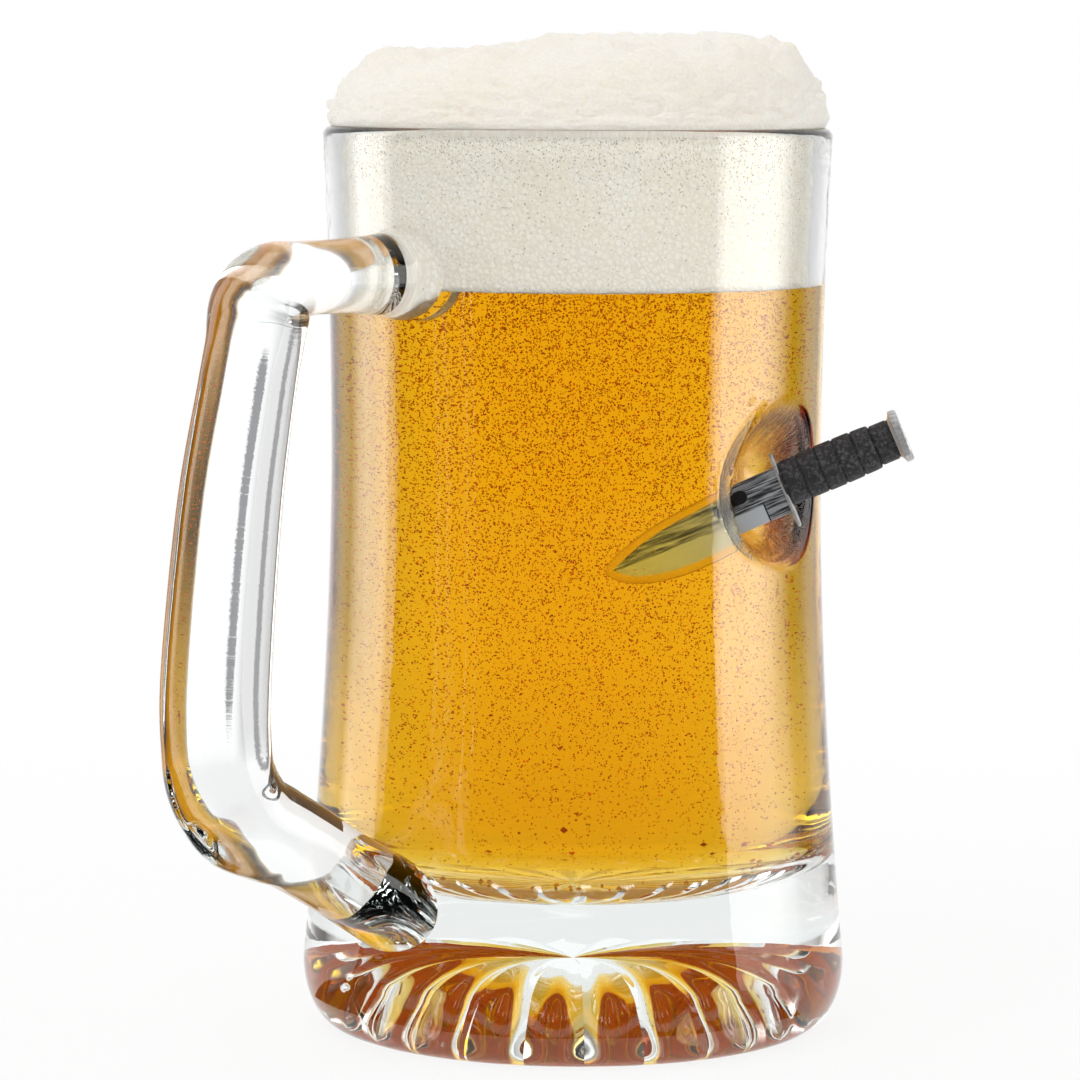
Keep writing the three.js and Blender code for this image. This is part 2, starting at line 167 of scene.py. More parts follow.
class KnifeSettings(bpy.types.PropertyGroup):
    """Sizes of the small knife, in metres."""

    guard_bearing: angle("Guard bearing", 278.0, "Bearing of the guard about the mug")
    guard_standoff: length("Guard standoff", 0.0004, "How far the guard stands off the wall's radius")
    guard_rise: length("Guard rise", 0.002, "How far the guard lies above the recess")
    bearing: angle("Knife bearing", 311.0, "Bearing that the grip points to")
    tilt: angle("Knife tilt", 23.4, "How far the grip points up")
    neck_reach: length("Neck reach", 0.0084, "Level distance from the guard in to the recess floor")
    blade_length: length("Blade length", 0.0338, "From the guard to the tip")
    blade_thickness: length("Blade thickness", 0.0015, "Thickness of the blade's back")
    fuller_width: length("Fuller width", 0.0025, "Width of the groove in the blade")
    fuller_start: length("Fuller start", 0.0065, "From the guard to the groove")
    fuller_length: length("Fuller length", 0.0085, "Length of the groove")
    fuller_rise: length("Fuller rise", 0.0009, "Height of the groove above the grip's line")
    guard_thickness: length("Guard thickness", 0.0007, "Thickness of the guard")
    guard_width: length("Guard width", 0.0054, "Width of the guard")
    guard_top: length("Guard top", 0.00605, "Length of the guard above the grip's line")
    guard_bottom: length("Guard bottom", 0.00795, "Length of the guard below the grip's line")
    ring_count: bpy.props.IntProperty(name="Grip rings", default=6, min=1, description="Washers in the grip")
    ring_pitch: length("Ring pitch", 0.00343, "Length that each grip ring takes")
    ring_gap: length("Ring gap", 0.00016, "Width of the groove between two rings")
    grip_depth: length("Grip depth", 0.0084, "Height of the grip")
    grip_width: length("Grip width", 0.0064, "Width of the grip")
    pommel_depth: length("Pommel depth", 0.0096, "Height of the end cap")
    pommel_width: length("Pommel width", 0.0076, "Width of the end cap")
    pommel_neck: length("Pommel neck", 0.0007, "Length of the flared neck")
    pommel_rim: length("Pommel rim", 0.0013, "Thickness of the end cap's rim")
    steel: colour("Steel", (0.66, 0.69, 0.73), "Colour of the brushed blade")
    fitting: colour("Fittings", (0.66, 0.66, 0.66), "Colour of the guard and end cap")
    sheen: amount("Sheen", 0.45, "How much of the steel's light is mirrored, against scattered")
    black: colour("Grip black", (0.028, 0.027, 0.029), "Colour of the grip rings")


class StudioSettings(bpy.types.PropertyGroup):
    """The camera and the lights."""

    camera_bearing: angle("Camera bearing", 224.0, "Bearing from the mug to the camera")
    camera_distance: length("Camera distance", 0.8713, "Level distance from the mug's axis")
    camera_height: length("Camera height", 0.1778, "Height above the table")
    camera_aside: length("Camera aside", 0.00646, "How far the camera stands to the left")
    camera_pitch: angle("Camera pitch", 5.865, "How far the camera looks down")
    camera_roll: angle("Camera roll", 0.293, "How far the camera is turned")
    lens: bpy.props.FloatProperty(name="Lens", default=160.19, description="Focal length in millimetres")
    world_strength: amount("World strength", 0.86, "Light from all round")
    key_strength: amount("Key strength", 2.2, "Light from the lamp over the left")
    right_strength: amount("Right softbox", 3.1, "Brightness of the right softbox in the glass")
    left_strength: amount("Left softbox", 2.5, "Brightness of the left softbox in the glass")
    back_strength: amount("Backlight", 1.12, "Brightness of the panel behind the mug, seen through its glass")
    panel_distance: length("Panel distance", 0.95, "From the mug to the softboxes and dark flags")


# Shapes


def level(bearing):
    return np.array([math.cos(bearing), math.sin(bearing), 0.0])


def mesh_object(name, vertices, faces, smooth=True):
    mesh = bpy.data.meshes.new(name)
    mesh.from_pydata([tuple(v) for v in vertices], [], faces)
    mesh.validate()
    if smooth:
        mesh.shade_smooth()
    piece = bpy.data.objects.new(name, mesh)
    bpy.context.scene.collection.objects.link(piece)
    return piece


def ring_faces(rows, columns, first=0):
    """Quads of a grid of closed rings, wound so that rings stacked along +Z face outward."""
    row, column = np.meshgrid(np.arange(rows - 1), np.arange(columns), indexing="ij")
    beside = (column + 1) % columns
    corners = [row * columns + column, row * columns + beside]
    corners += [(row + 1) * columns + beside, (row + 1) * columns + column]
    return (np.stack([c.ravel() for c in corners], axis=1) + first).tolist()


def loft(name, rings, smooth=True):
    """A closed piece of rings with equal counts, with a fan at each end."""
    rings = np.asarray(rings)
    rows, columns = rings.shape[:2]
    vertices = rings.reshape(-1, 3)
    faces = ring_faces(rows, columns)
    start, end = len(vertices), len(vertices) + 1
    vertices = np.vstack([vertices, rings[0].mean(axis=0), rings[-1].mean(axis=0)])
    last = (rows - 1) * columns
    for k in range(columns):
        beside = (k + 1) % columns
        faces.append((start, beside, k))
        faces.append((end, last + k, last + beside))
    return mesh_object(name, vertices, faces, smooth)


def turned(theta, radius, height):
    """Points about the mug's axis; each row is a ring."""
    theta, radius, height = np.broadcast_arrays(theta, radius, height)
    flat = np.stack([np.cos(theta) * radius, np.sin(theta) * radius, height], axis=-1)
    return flat + AXIS


def sharpen(piece, degrees):
    piece.data.set_sharp_from_angle(angle=math.radians(degrees))


def cut(piece, tool, operation):
    """Joins or cuts piece by tool, and deletes tool."""
    modifier = piece.modifiers.new(operation, "BOOLEAN")
    modifier.operation = operation
    modifier.solver = "MANIFOLD"
    modifier.object = tool
    evaluated = piece.evaluated_get(bpy.context.evaluated_depsgraph_get())
    made = bpy.data.meshes.new_from_object(evaluated)
    if len(made.polygons) == 0:
        raise RuntimeError(f"{operation} left nothing of {piece.name}")
    piece.modifiers.clear()
    old = piece.data
    piece.data = made
    made.name = piece.name
    bpy.data.meshes.remove(old)
    bpy.data.objects.remove(tool)


def settle(piece, material, stands_for=()):
    """Gives a piece its finish and its place in the frame."""
    piece.data.materials.clear()
    piece.data.materials.append(material)
    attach(piece, "root")
    if stands_for:
        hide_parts(*stands_for)


def smooth_min(a, b, reach):
    share = np.maximum(reach - np.abs(a - b), 0.0) / reach
    return np.minimum(a, b) - share * share * reach / 4


# The glass


FLARE_POWER = 1.75


def waist_height(glass):
    return RIM_HEIGHT - glass.waist_drop


def wall_radius(glass, height):
    """Outside of the wall: drawn in at the waist, flaring to the rim and to the base."""
    height = np.asarray(height, dtype=float)
    waist = waist_height(glass)
    upper = height > waist
    end_radius = np.where(upper, glass.rim_radius, BASE_RADIUS)
    end_height = np.where(upper, RIM_HEIGHT, glass.base_height)
    share = np.abs((height - waist) / (end_height - waist))
    return glass.waist_radius + (end_radius - glass.waist_radius) * share**FLARE_POWER


def bore_radius(glass, height):
    height = np.asarray(height, dtype=float)
    share = np.clip((height - waist_height(glass)) / glass.waist_drop, 0.0, 1.0)
    thickness = glass.wall_thickness + (glass.rim_thickness - glass.wall_thickness) * share
    upper = wall_radius(glass, height) - thickness
    return np.where(share > 0, upper, glass.waist_radius - glass.wall_thickness)


def frame_at(bearing, tilt):
    """Unit vectors that point outward, across and up, as the recess and the knife lie."""
    flat = level(bearing)
    across = np.cross([0.0, 0.0, 1.0], flat)
    outward = flat * math.cos(tilt) + np.array([0.0, 0.0, math.sin(tilt)])
    return outward, across, np.cross(outward, across)


def guard_place(glass, knife):
    height = RIM_HEIGHT - glass.recess_drop
    radius = float(wall_radius(glass, height)) + knife.guard_standoff
    return level(knife.guard_bearing) * radius + np.array([0.0, 0.0, height + knife.guard_rise])


def recess_place(glass, knife):
    place = guard_place(glass, knife) - level(knife.bearing) * knife.neck_reach
    place[2] = RIM_HEIGHT - glass.recess_drop
    return place


def dished(glass, knife, theta, height, plain, under=0.0):
    """A wall's radius where the recess presses it in, under a thickness of glass."""
    outward, _, _ = frame_at(glass.recess_bearing, glass.recess_tilt)
    place = recess_place(glass, knife)
    soften = glass.recess_round + under / 3
    flank_start = glass.recess_floor + under * (math.sqrt(2) - 1)

    def depth_outside(radius):
        points = np.stack(np.broadcast_arrays(np.cos(theta) * radius, np.sin(theta) * radius, height), axis=-1)
        offset = points - place
        along = offset @ outward
        aside = np.sqrt(np.maximum((offset**2).sum(axis=-1) - along**2, 0.0))
        flank = soften * np.logaddexp(0.0, (aside - flank_start) / soften)
        return along - flank + under

    low = np.broadcast_to(plain * 0.5, np.broadcast_shapes(np.shape(plain), np.shape(theta))).copy()
    high = low * 2.4
    far = high.copy()
    reached = depth_outside(high) > 0
    for _ in range(40):
        middle = (low + high) / 2
        outside = depth_outside(middle) > 0
        high = np.where(outside, middle, high)
        low = np.where(outside, low, middle)
    near_recess = np.cos(theta - glass.recess_bearing) > math.cos(math.radians(50))
    return smooth_min(plain, np.where(reached & near_recess, high, far), glass.recess_lip)


def mark_recess(piece, glass, knife):
    """Stores how far the recess has pressed in each point, of the dish outside and of the bulge inside."""
    points = np.empty(len(piece.data.vertices) * 3)
    piece.data.vertices.foreach_get("co", points)
    x, y, z = (points.reshape(-1, 3) - AXIS).T
    theta, radius = np.arctan2(y, x), np.hypot(x, y)
    outer, bore = wall_radius(glass, z), bore_radius(glass, z)
    dish = dished(glass, knife, theta, z, outer)
    bulge = dished(glass, knife, theta, z, bore, glass.recess_wall)
    on_dish = np.abs(radius - dish) < np.abs(radius - bulge)
    on_wall = (z > glass.floor_height) & (radius < outer + 0.1 * MILLIMETRE)
    for name, pressed in (("dish", (outer - dish) * on_dish), ("bulge", (bore - bulge) * ~on_dish)):
        piece.data.attributes.new(name, "FLOAT", "POINT").data.foreach_set("value", pressed * on_wall)


def wall_heights(glass, low, high):
    """Heights of the wall's rings, closer together round the recess."""
    middle = RIM_HEIGHT - glass.recess_drop
    reach = 22 * MILLIMETRE
    coarse, fine = 1.1 * MILLIMETRE, 0.55 * MILLIMETRE
    below = np.linspace(low, middle - reach, round((middle - reach - low) / coarse))
    across = np.linspace(middle - reach, middle + reach, round(2 * reach / fine))[1:]
    above = np.linspace(middle + reach, high, round((high - middle - reach) / coarse))[1:]
    return np.concatenate([below, across, above])


def quarter(centre_radius, centre_height, radius_across, radius_up, start, end, count):
    turn = np.radians(np.linspace(start, end, count))
    return centre_radius + radius_across * np.cos(turn), centre_height + radius_up * np.sin(turn)


SAMPLES_PER_FLUTE = 14


def starburst_rings(glass, theta):
    """The hollow under the base: sharp crests run from the hub along its roof and down to the foot."""
    flute = np.abs(np.sin((theta - glass.flute_bearing) * glass.flute_count / 2))
    reach = BASE_RADIUS - glass.heel_width - glass.foot_width
    rings = []
    for share in np.linspace(0.01, 1.0, 60):
        radius, height = reach * share, glass.roof_height * (1 - share**glass.roof_power)
        height -= glass.hub_dip * (1 - share) ** 4
        fall = glass.roof_height / reach * glass.roof_power * share ** (glass.roof_power - 1)
        depth = glass.flute_depth * share * flute / math.hypot(1.0, fall)
        rings.append(turned(theta, radius - depth * fall, np.maximum(height - depth, 0.0)))
    return rings


def cup(glass, knife):
    columns = glass.flute_count * SAMPLES_PER_FLUTE
    theta = glass.flute_bearing + np.linspace(0, 2 * math.pi, columns, endpoint=False)
    foot = BASE_RADIUS - glass.heel_width
    lip = glass.rim_thickness / 2
    lip_height = RIM_HEIGHT - lip
    corner_top = glass.floor_height + glass.floor_corner
    rings = starburst_rings(glass, theta)
    heel = quarter(foot, glass.base_height, glass.heel_width, glass.base_height, -90, 0, 18)
    rings += [turned(theta, r, z) for r, z in zip(*heel)]
    for z in wall_heights(glass, glass.base_height, lip_height)[1:]:
        rings.append(turned(theta, dished(glass, knife, theta, z, wall_radius(glass, z)), z))
    lip_arc = quarter(wall_radius(glass, lip_height) - lip, lip_height, lip, lip, 0, 180, 14)
    rings += [turned(theta, r, z) for r, z in zip(lip_arc[0][1:-1], lip_arc[1][1:-1])]
    for z in wall_heights(glass, corner_top, lip_height)[::-1]:
        bore = dished(glass, knife, theta, z, bore_radius(glass, z), glass.recess_wall)
        rings.append(turned(theta, bore, z))
    bore = glass.waist_radius - glass.wall_thickness
    corner = quarter(bore - glass.corner_width, corner_top, glass.corner_width, glass.floor_corner, 0, -90, 26)
    rings += [turned(theta, r, z) for r, z in zip(corner[0][1:], corner[1][1:])]
    for share in (0.9, 0.7, 0.45, 0.2, 0.03):
        rings.append(turned(theta, (bore - glass.corner_width) * share, glass.floor_height))
    return loft("mug_glass", rings)


# The blade's outline, given as the height of its back and of its edge at shares of its length
BLADE_LENGTH_SHARES = (0.0, 0.15, 0.3, 0.45, 0.6, 0.72, 0.83, 0.91, 0.965, 1.0)
BLADE_BACK = (3.5, 3.42, 3.25, 2.95, 2.45, 1.8, 0.85, -0.15, -1.0, -1.72)
BLADE_EDGE = (-5.1, -5.1, -5.2, -5.55, -5.75, -5.65, -5.1, -4.25, -3.1, -1.78)


def blade_lines(share):
    """Back and edge of the blade, in metres from the grip's line, at a share of its length."""
    back = np.interp(share, BLADE_LENGTH_SHARES, BLADE_BACK) * MILLIMETRE
    edge = np.interp(share, BLADE_LENGTH_SHARES, BLADE_EDGE) * MILLIMETRE
    return back, edge


def eased_blade_lines(share):
    """The same lines with their corners eased by averaging over a short span."""
    span = np.linspace(-0.07, 0.07, 9)
    ease = (1 - share)
    back, edge = zip(*(blade_lines(np.clip(share + step * ease, 0.0, 1.0)) for step in span))
    return np.mean(back, axis=0), np.mean(edge, axis=0)


def knife_points(glass, knife, local):
    """Knife coordinates (outward, across, up from the grip's line at the guard) to the row frame."""
    local = np.asarray(local, dtype=float)
    outward, across, rise = frame_at(knife.bearing, knife.tilt)
    place = guard_place(glass, knife)
    return place + local[..., :1] * outward + local[..., 1:2] * across + local[..., 2:3] * rise + AXIS


def sleeve(glass, knife, grow):
    """The rounded glass round the blade, grown from the blade's outline."""
    stations = np.linspace(0, 1, 44)
    start = knife.guard_thickness / 2
    half = knife.blade_thickness / 2
    rings = []
    turn = np.linspace(0, 2 * math.pi, 40, endpoint=False)
    for share in stations:
        back, edge = eased_blade_lines(share)
        middle, reach = (back + edge) / 2, (back - edge) / 2
        # Past the last tenth the section closes in an ellipse, so that the end is round
        rounding = math.sqrt(max(1 - max((share - 0.9) / 0.1, 0.0) ** 2, 0.0))
        along = -(start + knife.blade_length * share + grow * max((share - 0.9) / 0.1, 0.0))
        across = (half + grow * rounding) * np.sign(np.sin(turn)) * np.abs(np.sin(turn)) ** 0.7
        up = middle + (reach + grow * max(rounding, 0.12)) * np.sign(np.cos(turn)) * np.abs(np.cos(turn)) ** 0.7
        rings.append(np.stack([np.full_like(turn, along), across * max(rounding, 0.1), up], axis=-1))
    return loft("blade_sleeve", knife_points(glass, knife, rings)[::-1])


class BEERMUG_OT_glass(bpy.types.Operator):
    """Build the cup with its fluted base, the recess in its wall and the glass round the blade"""

    bl_idname = "beermug.glass"
    bl_label = "Glass Body"

    def execute(self, context):
        glass, knife = context.scene.beermug_glass, context.scene.beermug_knife
        cup(glass, knife)
        tool = sleeve(glass, knife, glass.pocket_wall)
        trim_outside(tool, glass, knife)
        settle(tool, sleeve_material(glass))
        return {"FINISHED"}


# How deep in the recess's glass the sleeve round the blade begins
SLEEVE_ROOT_SHARE = 0.92


def trim_outside(tool, glass, knife):
    """Pulls the guard end of the sleeve back to where it lies inside the recess's glass."""
    outward, _, _ = frame_at(knife.bearing, knife.tilt)
    floor_out, _, _ = frame_at(glass.recess_bearing, glass.recess_tilt)
    floor = recess_place(glass, knife) + AXIS - floor_out * (glass.recess_wall * SLEEVE_ROOT_SHARE)
    for vertex in tool.data.vertices:
        past = (np.array(vertex.co) - floor) @ floor_out
        if past > 0:
            vertex.co = Vector(np.array(vertex.co) - outward * (past / (outward @ floor_out)))


# The handle


# Stations: out from the waist, down from the arm, thickness, width, and how square the facets are
HANDLE_SHARES = (
    (-0.14, 0.0, 0.9, 1.1, 0.1),
    (0.02, 0.0, 0.86, 1.04, 0.1),
    (0.12, 0.0, 0.76, 0.92, 0.1),
    (0.34, 0.0, 0.69, 0.85, 0.1),
    (0.56, 0.002, 0.7, 0.86, 0.1),
    (0.69, 0.012, 0.82, 0.9, 0.1),
    (0.77, 0.045, 0.92, 0.93, 0.15),
    (0.8, 0.1, 0.88, 0.9, 0.5),
    (0.84, 0.17, 0.88, 0.9, 1.0),
    (0.93, 0.35, 0.95, 0.95, 1.0),
    (1.0, 0.6, 1.0, 1.0, 1.0),
    (1.0, 0.72, 1.0, 1.0, 0.7),
    (0.97, 0.78, 1.0, 1.0, 0.5),
    (0.87, 0.835, 0.98, 1.0, 0.4),
    (0.73, 0.865, 0.93, 1.0, 0.3),
    (0.58, 0.893, 0.86, 1.0, 0.3),
    (0.36, 0.943, 0.82, 1.05, 0.3),
    (0.14, 0.992, 0.85, 1.2, 0.2),
    (-0.08, 1.04, 0.9, 1.3, 0.2),
)


def catmull_rom(stations, share):
    """A smooth path through stations at a share of its length, with its slope."""
    stations = np.asarray(stations, dtype=float)
    place = share * (len(stations) - 1)
    index = min(int(place), len(stations) - 2)
    t = place - index
    before = stations[max(index - 1, 0)]
    first, second = stations[index], stations[index + 1]
    after = stations[min(index + 2, len(stations) - 1)]
    curve = 2 * first + (second - before) * t
    curve += (2 * before - 5 * first + 4 * second - after) * t**2
    curve += (3 * first - before - 3 * second + after) * t**3
    slope = (second - before) + 2 * (2 * before - 5 * first + 4 * second - after) * t
    slope += 3 * (3 * first - before - 3 * second + after) * t**2
    return curve / 2, slope / 2


def octagon(turn, square):
    """Radius of an eight-sided section with rounded edges; square runs from 0, round, to 1, faceted."""
    power = 2.0 + 24.0 * square
    sides = np.radians([0, 45, 90, 135])
    reach = sum(np.abs(np.cos(turn - side)) ** power for side in sides)
    flat = sum(np.abs(np.cos(side)) ** power for side in sides)
    return (flat / reach) ** (1 / power)


ASIDE = np.array([0.0, 1.0, 0.0])


def handle_stations(glass, handle):
    """The handle's sections in order: middle, inward direction, thickness, width and squareness."""
    arm = RIM_HEIGHT - handle.arm_drop
    drop = arm - handle.weld_height
    stations = []
    for share in np.linspace(0, 1, 190):
        (out, down, thick, wide, square), (out_slope, down_slope, *_) = catmull_rom(HANDLE_SHARES, share)
        centre = np.array([-(glass.waist_radius + handle.standoff * out), 0.0, arm - drop * down]) + AXIS
        along = np.array([-handle.standoff * out_slope, 0.0, -drop * down_slope])
        inward = np.cross(along / np.linalg.norm(along), ASIDE)
        stations.append((centre, inward, thick, wide, min(max(square, 0.0), 1.0)))
    return stations


def mark_seam(piece, glass, handle, stations):
    """Stores how near each point of the leg lies to the mould's seam, along one of its far edges."""
    points = np.empty(len(piece.data.vertices) * 3)
    piece.data.vertices.foreach_get("co", points)
    points = points.reshape(-1, 3)
    centres, inwards, _, _, squares = (np.array(column) for column in zip(*stations))
    far_out = np.hypot(*(points - AXIS)[:, :2].T) > glass.waist_radius + handle.leg_size
    seam = np.zeros(len(points))
    for index in np.flatnonzero(far_out):
        nearest = np.argmin(((centres - points[index]) ** 2).sum(axis=1))
        offset = points[index] - centres[nearest]
        bearing = math.atan2(offset @ ASIDE, offset @ inwards[nearest])
        gap = abs(bearing - handle.seam_bearing) / handle.seam_reach
        seam[index] = max(1 - gap, 0.0) * squares[nearest] ** 0.3
    piece.data.attributes.new("seam", "FLOAT", "POINT").data.foreach_set("value", seam)


class BEERMUG_OT_handle(bpy.types.Operator):
    """Weld on the solid glass handle with its round elbows and faceted leg"""

    bl_idname = "beermug.handle"
    bl_label = "Handle"

    def execute(self, context):
        glass, handle = context.scene.beermug_glass, context.scene.beermug_handle
        stations = handle_stations(glass, handle)
        seam_steps = np.linspace(-1.0, 1.0, 9) * handle.seam_reach
        turn = np.linspace(-math.pi, math.pi, 72, endpoint=False)
        turn = np.concatenate([turn[np.abs(turn) > handle.seam_reach], seam_steps])
        turn = np.sort(turn) - handle.seam_bearing
        rings = []
        for centre, inward, thick, wide, square in stations:
            radius = octagon(turn, square) * handle.leg_size / 2
            ring = centre + np.outer(radius * np.cos(turn) * thick, inward)
            rings.append(ring - np.outer(radius * np.sin(turn) * wide, ASIDE))
        body = bpy.data.objects["mug_glass"]
        cut(body, loft("mug_handle", rings), "UNION")
        body.data.shade_smooth()
        sharpen(body, 42)
        mark_recess(body, glass, context.scene.beermug_knife)
        mark_seam(body, glass, handle, stations)
        finish = glass_material(glass, context.scene.beermug_knife, "Pressed glass")
        settle(body, finish, ["glass_body", "handle"])
        return {"FINISHED"}


# The drink


class BEERMUG_OT_beer(bpy.types.Operator):
    """Fill the cup with beer up to the froth"""

    bl_idname = "beermug.beer"
    bl_label = "Beer"

    def execute(self, context):
        scene = context.scene
        glass, knife, drink = scene.beermug_glass, scene.beermug_knife, scene.beermug_drink
        columns = 288
        theta = np.linspace(0, 2 * math.pi, columns, endpoint=False)
        bore = glass.waist_radius - glass.wall_thickness
        corner_top = glass.floor_height + glass.floor_corner
        inner = bore - glass.corner_width
        floor = glass.floor_height - drink.overlap
        rings = [turned(theta, inner * share, floor) for share in (0.03, 0.3, 0.6, 0.9)]
        across, up = glass.corner_width + drink.overlap, glass.floor_corner + drink.overlap
        rings += [turned(theta, r, z) for r, z in zip(*quarter(inner, corner_top, across, up, -90, 0, 26))]
        for z in wall_heights(glass, corner_top, BEER_HEIGHT)[1:]:
            radius = dished(glass, knife, theta, z, bore_radius(glass, z), glass.recess_wall)
            rings.append(turned(theta, radius + drink.overlap, z))
        edge = float(bore_radius(glass, BEER_HEIGHT))
        rings += [turned(theta, edge * share, BEER_HEIGHT) for share in (0.9, 0.5, 0.05)]
        piece = loft("beer_fill", rings)
        sharpen(piece, 60)
        settle(piece, beer_material(drink), ["beer"])
        return {"FINISHED"}


BEAD_CORNERS = np.array([(1, 0, 0), (0, 1, 0), (-1, 0, 0), (0, -1, 0), (0, 0, 1), (0, 0, -1)], dtype=float)
BEAD_FACES = ((0, 1, 4), (1, 2, 4), (2, 3, 4), (3, 0, 4), (1, 0, 5), (2, 1, 5), (3, 2, 5), (0, 3, 5))


def scatter_mesh(name, places, sizes, frames=None):
    """Small smooth-shaded beads, all in one mesh; a frame per bead may flatten and turn it."""
    shapes = BEAD_CORNERS * np.asarray(sizes)[:, None, None]
    if frames is not None:
        shapes = shapes @ np.asarray(frames)
    vertices = (shapes + np.asarray(places)[:, None, :]).reshape(-1, 3)
    firsts = np.arange(len(shapes)) * len(BEAD_CORNERS)
    faces = (firsts[:, None, None] + np.array(BEAD_FACES)).reshape(-1, 3)
    return mesh_object(name, vertices, faces.tolist())


def near_sleeve(glass, knife, points, margin):
    """Which points lie inside the glass round the blade, or nearer to it than margin."""
    outward, across, rise = frame_at(knife.bearing, knife.tilt)
    offset = points - guard_place(glass, knife)
    along = -(offset @ outward)
    reach = glass.pocket_wall + margin
    beside = np.abs(offset @ across) < knife.blade_thickness / 2 + reach
    level_with = np.abs(offset @ rise) < 8 * MILLIMETRE
    return (along > -reach) & (along < knife.blade_length + reach) & beside & level_with


# The bubbles rise inside this share of the bore
BUBBLE_REACH_SHARE = 0.8


class BEERMUG_OT_bubbles(bpy.types.Operator):
    """Scatter fine bubbles through the beer, closer together near the froth"""

    bl_idname = "beermug.bubbles"
    bl_label = "Bubbles"

    def execute(self, context):
        scene = context.scene
        glass, knife, drink = scene.beermug_glass, scene.beermug_knife, scene.beermug_drink
        rng = np.random.default_rng(11)
        margin = 0.7 * MILLIMETRE
        floor = glass.floor_height + margin
        tries = 4 * drink.bubble_count
        share = rng.random(tries)
        z = floor + (BEER_HEIGHT - margin - floor) * share
        theta = rng.uniform(0, 2 * math.pi, tries)
        radius = bore_radius(glass, z) * BUBBLE_REACH_SHARE * np.sqrt(rng.random(tries))
        limit = dished(glass, knife, theta, z, bore_radius(glass, z), glass.recess_wall) - margin
        limit -= np.maximum(floor + glass.floor_corner - z, 0.0) * glass.corner_width / glass.floor_corner
        points = np.stack([radius * np.cos(theta), radius * np.sin(theta), z], axis=-1)
        kept = (rng.random(tries) < 0.1 + 0.9 * share) & (radius < limit)
        kept &= ~near_sleeve(glass, knife, points, margin)
        places = points[kept][:drink.bubble_count] + AXIS
        sizes = drink.bubble_radius * np.exp(rng.normal(0, 0.16, len(places)))

        count = drink.floor_bubbles
        theta = rng.uniform(0, 2 * math.pi, count)
        turn = np.radians(rng.uniform(-88, -35, count))
        large = drink.bubble_radius * rng.uniform(1.6, 4.2, count)
        across, up = glass.corner_width - large, glass.floor_corner - large
        centre = glass.waist_radius - glass.wall_thickness - glass.corner_width
        corner_top = glass.floor_height + glass.floor_corner
        low = turned(theta, centre + across * np.cos(turn), corner_top + up * np.sin(turn))
        piece = scatter_mesh("beer_bubbles", np.vstack([places, low]), np.concatenate([sizes, large]))
        settle(piece, bubble_material(drink))
        return {"FINISHED"}


def lump(point, scale, seed):
    """Smooth noise between about -1 and 1 at a place on the froth."""
    return noise.noise(Vector(point) / scale + Vector((seed, 2 * seed, 3 * seed)))


# The froth's outline over the rim: how far out, and how high, as shares
MOUND_SHARES = (
    (0.985, 0.0), (0.995, 0.08), (0.992, 0.2), (0.98, 0.34), (0.957, 0.5), (0.925, 0.64), (0.88, 0.76),
    (0.81, 0.87), (0.7, 0.935), (0.54, 0.97), (0.36, 0.99), (0.18, 1.0), (0.03, 1.0),
)
THIN_BEARING = 150.0
FROTH_FILM = 0.03 * MILLIMETRE


class BEERMUG_OT_froth(bpy.types.Operator):
    """Heap the froth over the rim and fill the top of the cup with it"""

    bl_idname = "beermug.froth"
    bl_label = "Froth"

    def execute(self, context):
        glass, drink = context.scene.beermug_glass, context.scene.beermug_drink
        theta = np.linspace(0, 2 * math.pi, 300, endpoint=False)
        low = BEER_HEIGHT - drink.overlap
        rings = [turned(theta, float(bore_radius(glass, low)) * share, low) for share in (0.05, 0.5, 0.9)]
        lip = glass.rim_thickness / 2
        for z in np.linspace(low, RIM_HEIGHT - lip, 22):
            rings.append(turned(theta, float(bore_radius(glass, z)) - FROTH_FILM, z))
        edge = glass.rim_radius - drink.mound_inset
        inner = float(bore_radius(glass, RIM_HEIGHT))
        rings.append(turned(theta, inner + lip * 0.4, RIM_HEIGHT - lip * 0.2))
        rings.append(turned(theta, inner + lip, RIM_HEIGHT + 0.1 * MILLIMETRE))
        stations = [catmull_rom(MOUND_SHARES, share)[0] for share in np.linspace(0, 1, 96)]
        thin = math.radians(THIN_BEARING)
        for out, up in stations:
            ring = []
            for bearing in theta:
                fullness = 1 - 0.085 * math.cos(bearing - thin)
                x, y = math.cos(bearing) * out, math.sin(bearing) * out
                place = (x, y, up * 0.6)
                swell = 0.075 * lump(place, 0.55, 4.0) + 0.09 * abs(lump(place, 0.26, 9.0)) - 0.03
                crust = 0.05 * abs(lump(place, 0.12, 17.0)) + 0.024 * abs(lump(place, 0.055, 21.0)) - 0.02
                crust += 0.008 * lump(place, 0.022, 25.0)
                reach = min(up * 4, 1.0)
                rise = swell * 2.4 * out**0.5 + crust * 1.6
                height = RIM_HEIGHT + 0.1 * MILLIMETRE
                height += drink.mound_height * (up * fullness + rise * reach * (0.35 + 0.65 * up))
                radius = edge * (out + reach * (1 - up) * (swell * 0.3 + crust * 0.9))
                radius = min(radius, edge)
                ring.append((math.cos(bearing) * radius, math.sin(bearing) * radius, height))
            rings.append(np.array(ring) + AXIS)
        piece = loft("froth_head", rings)
        settle(piece, froth_material(drink), ["foam_head"])
        return {"FINISHED"}


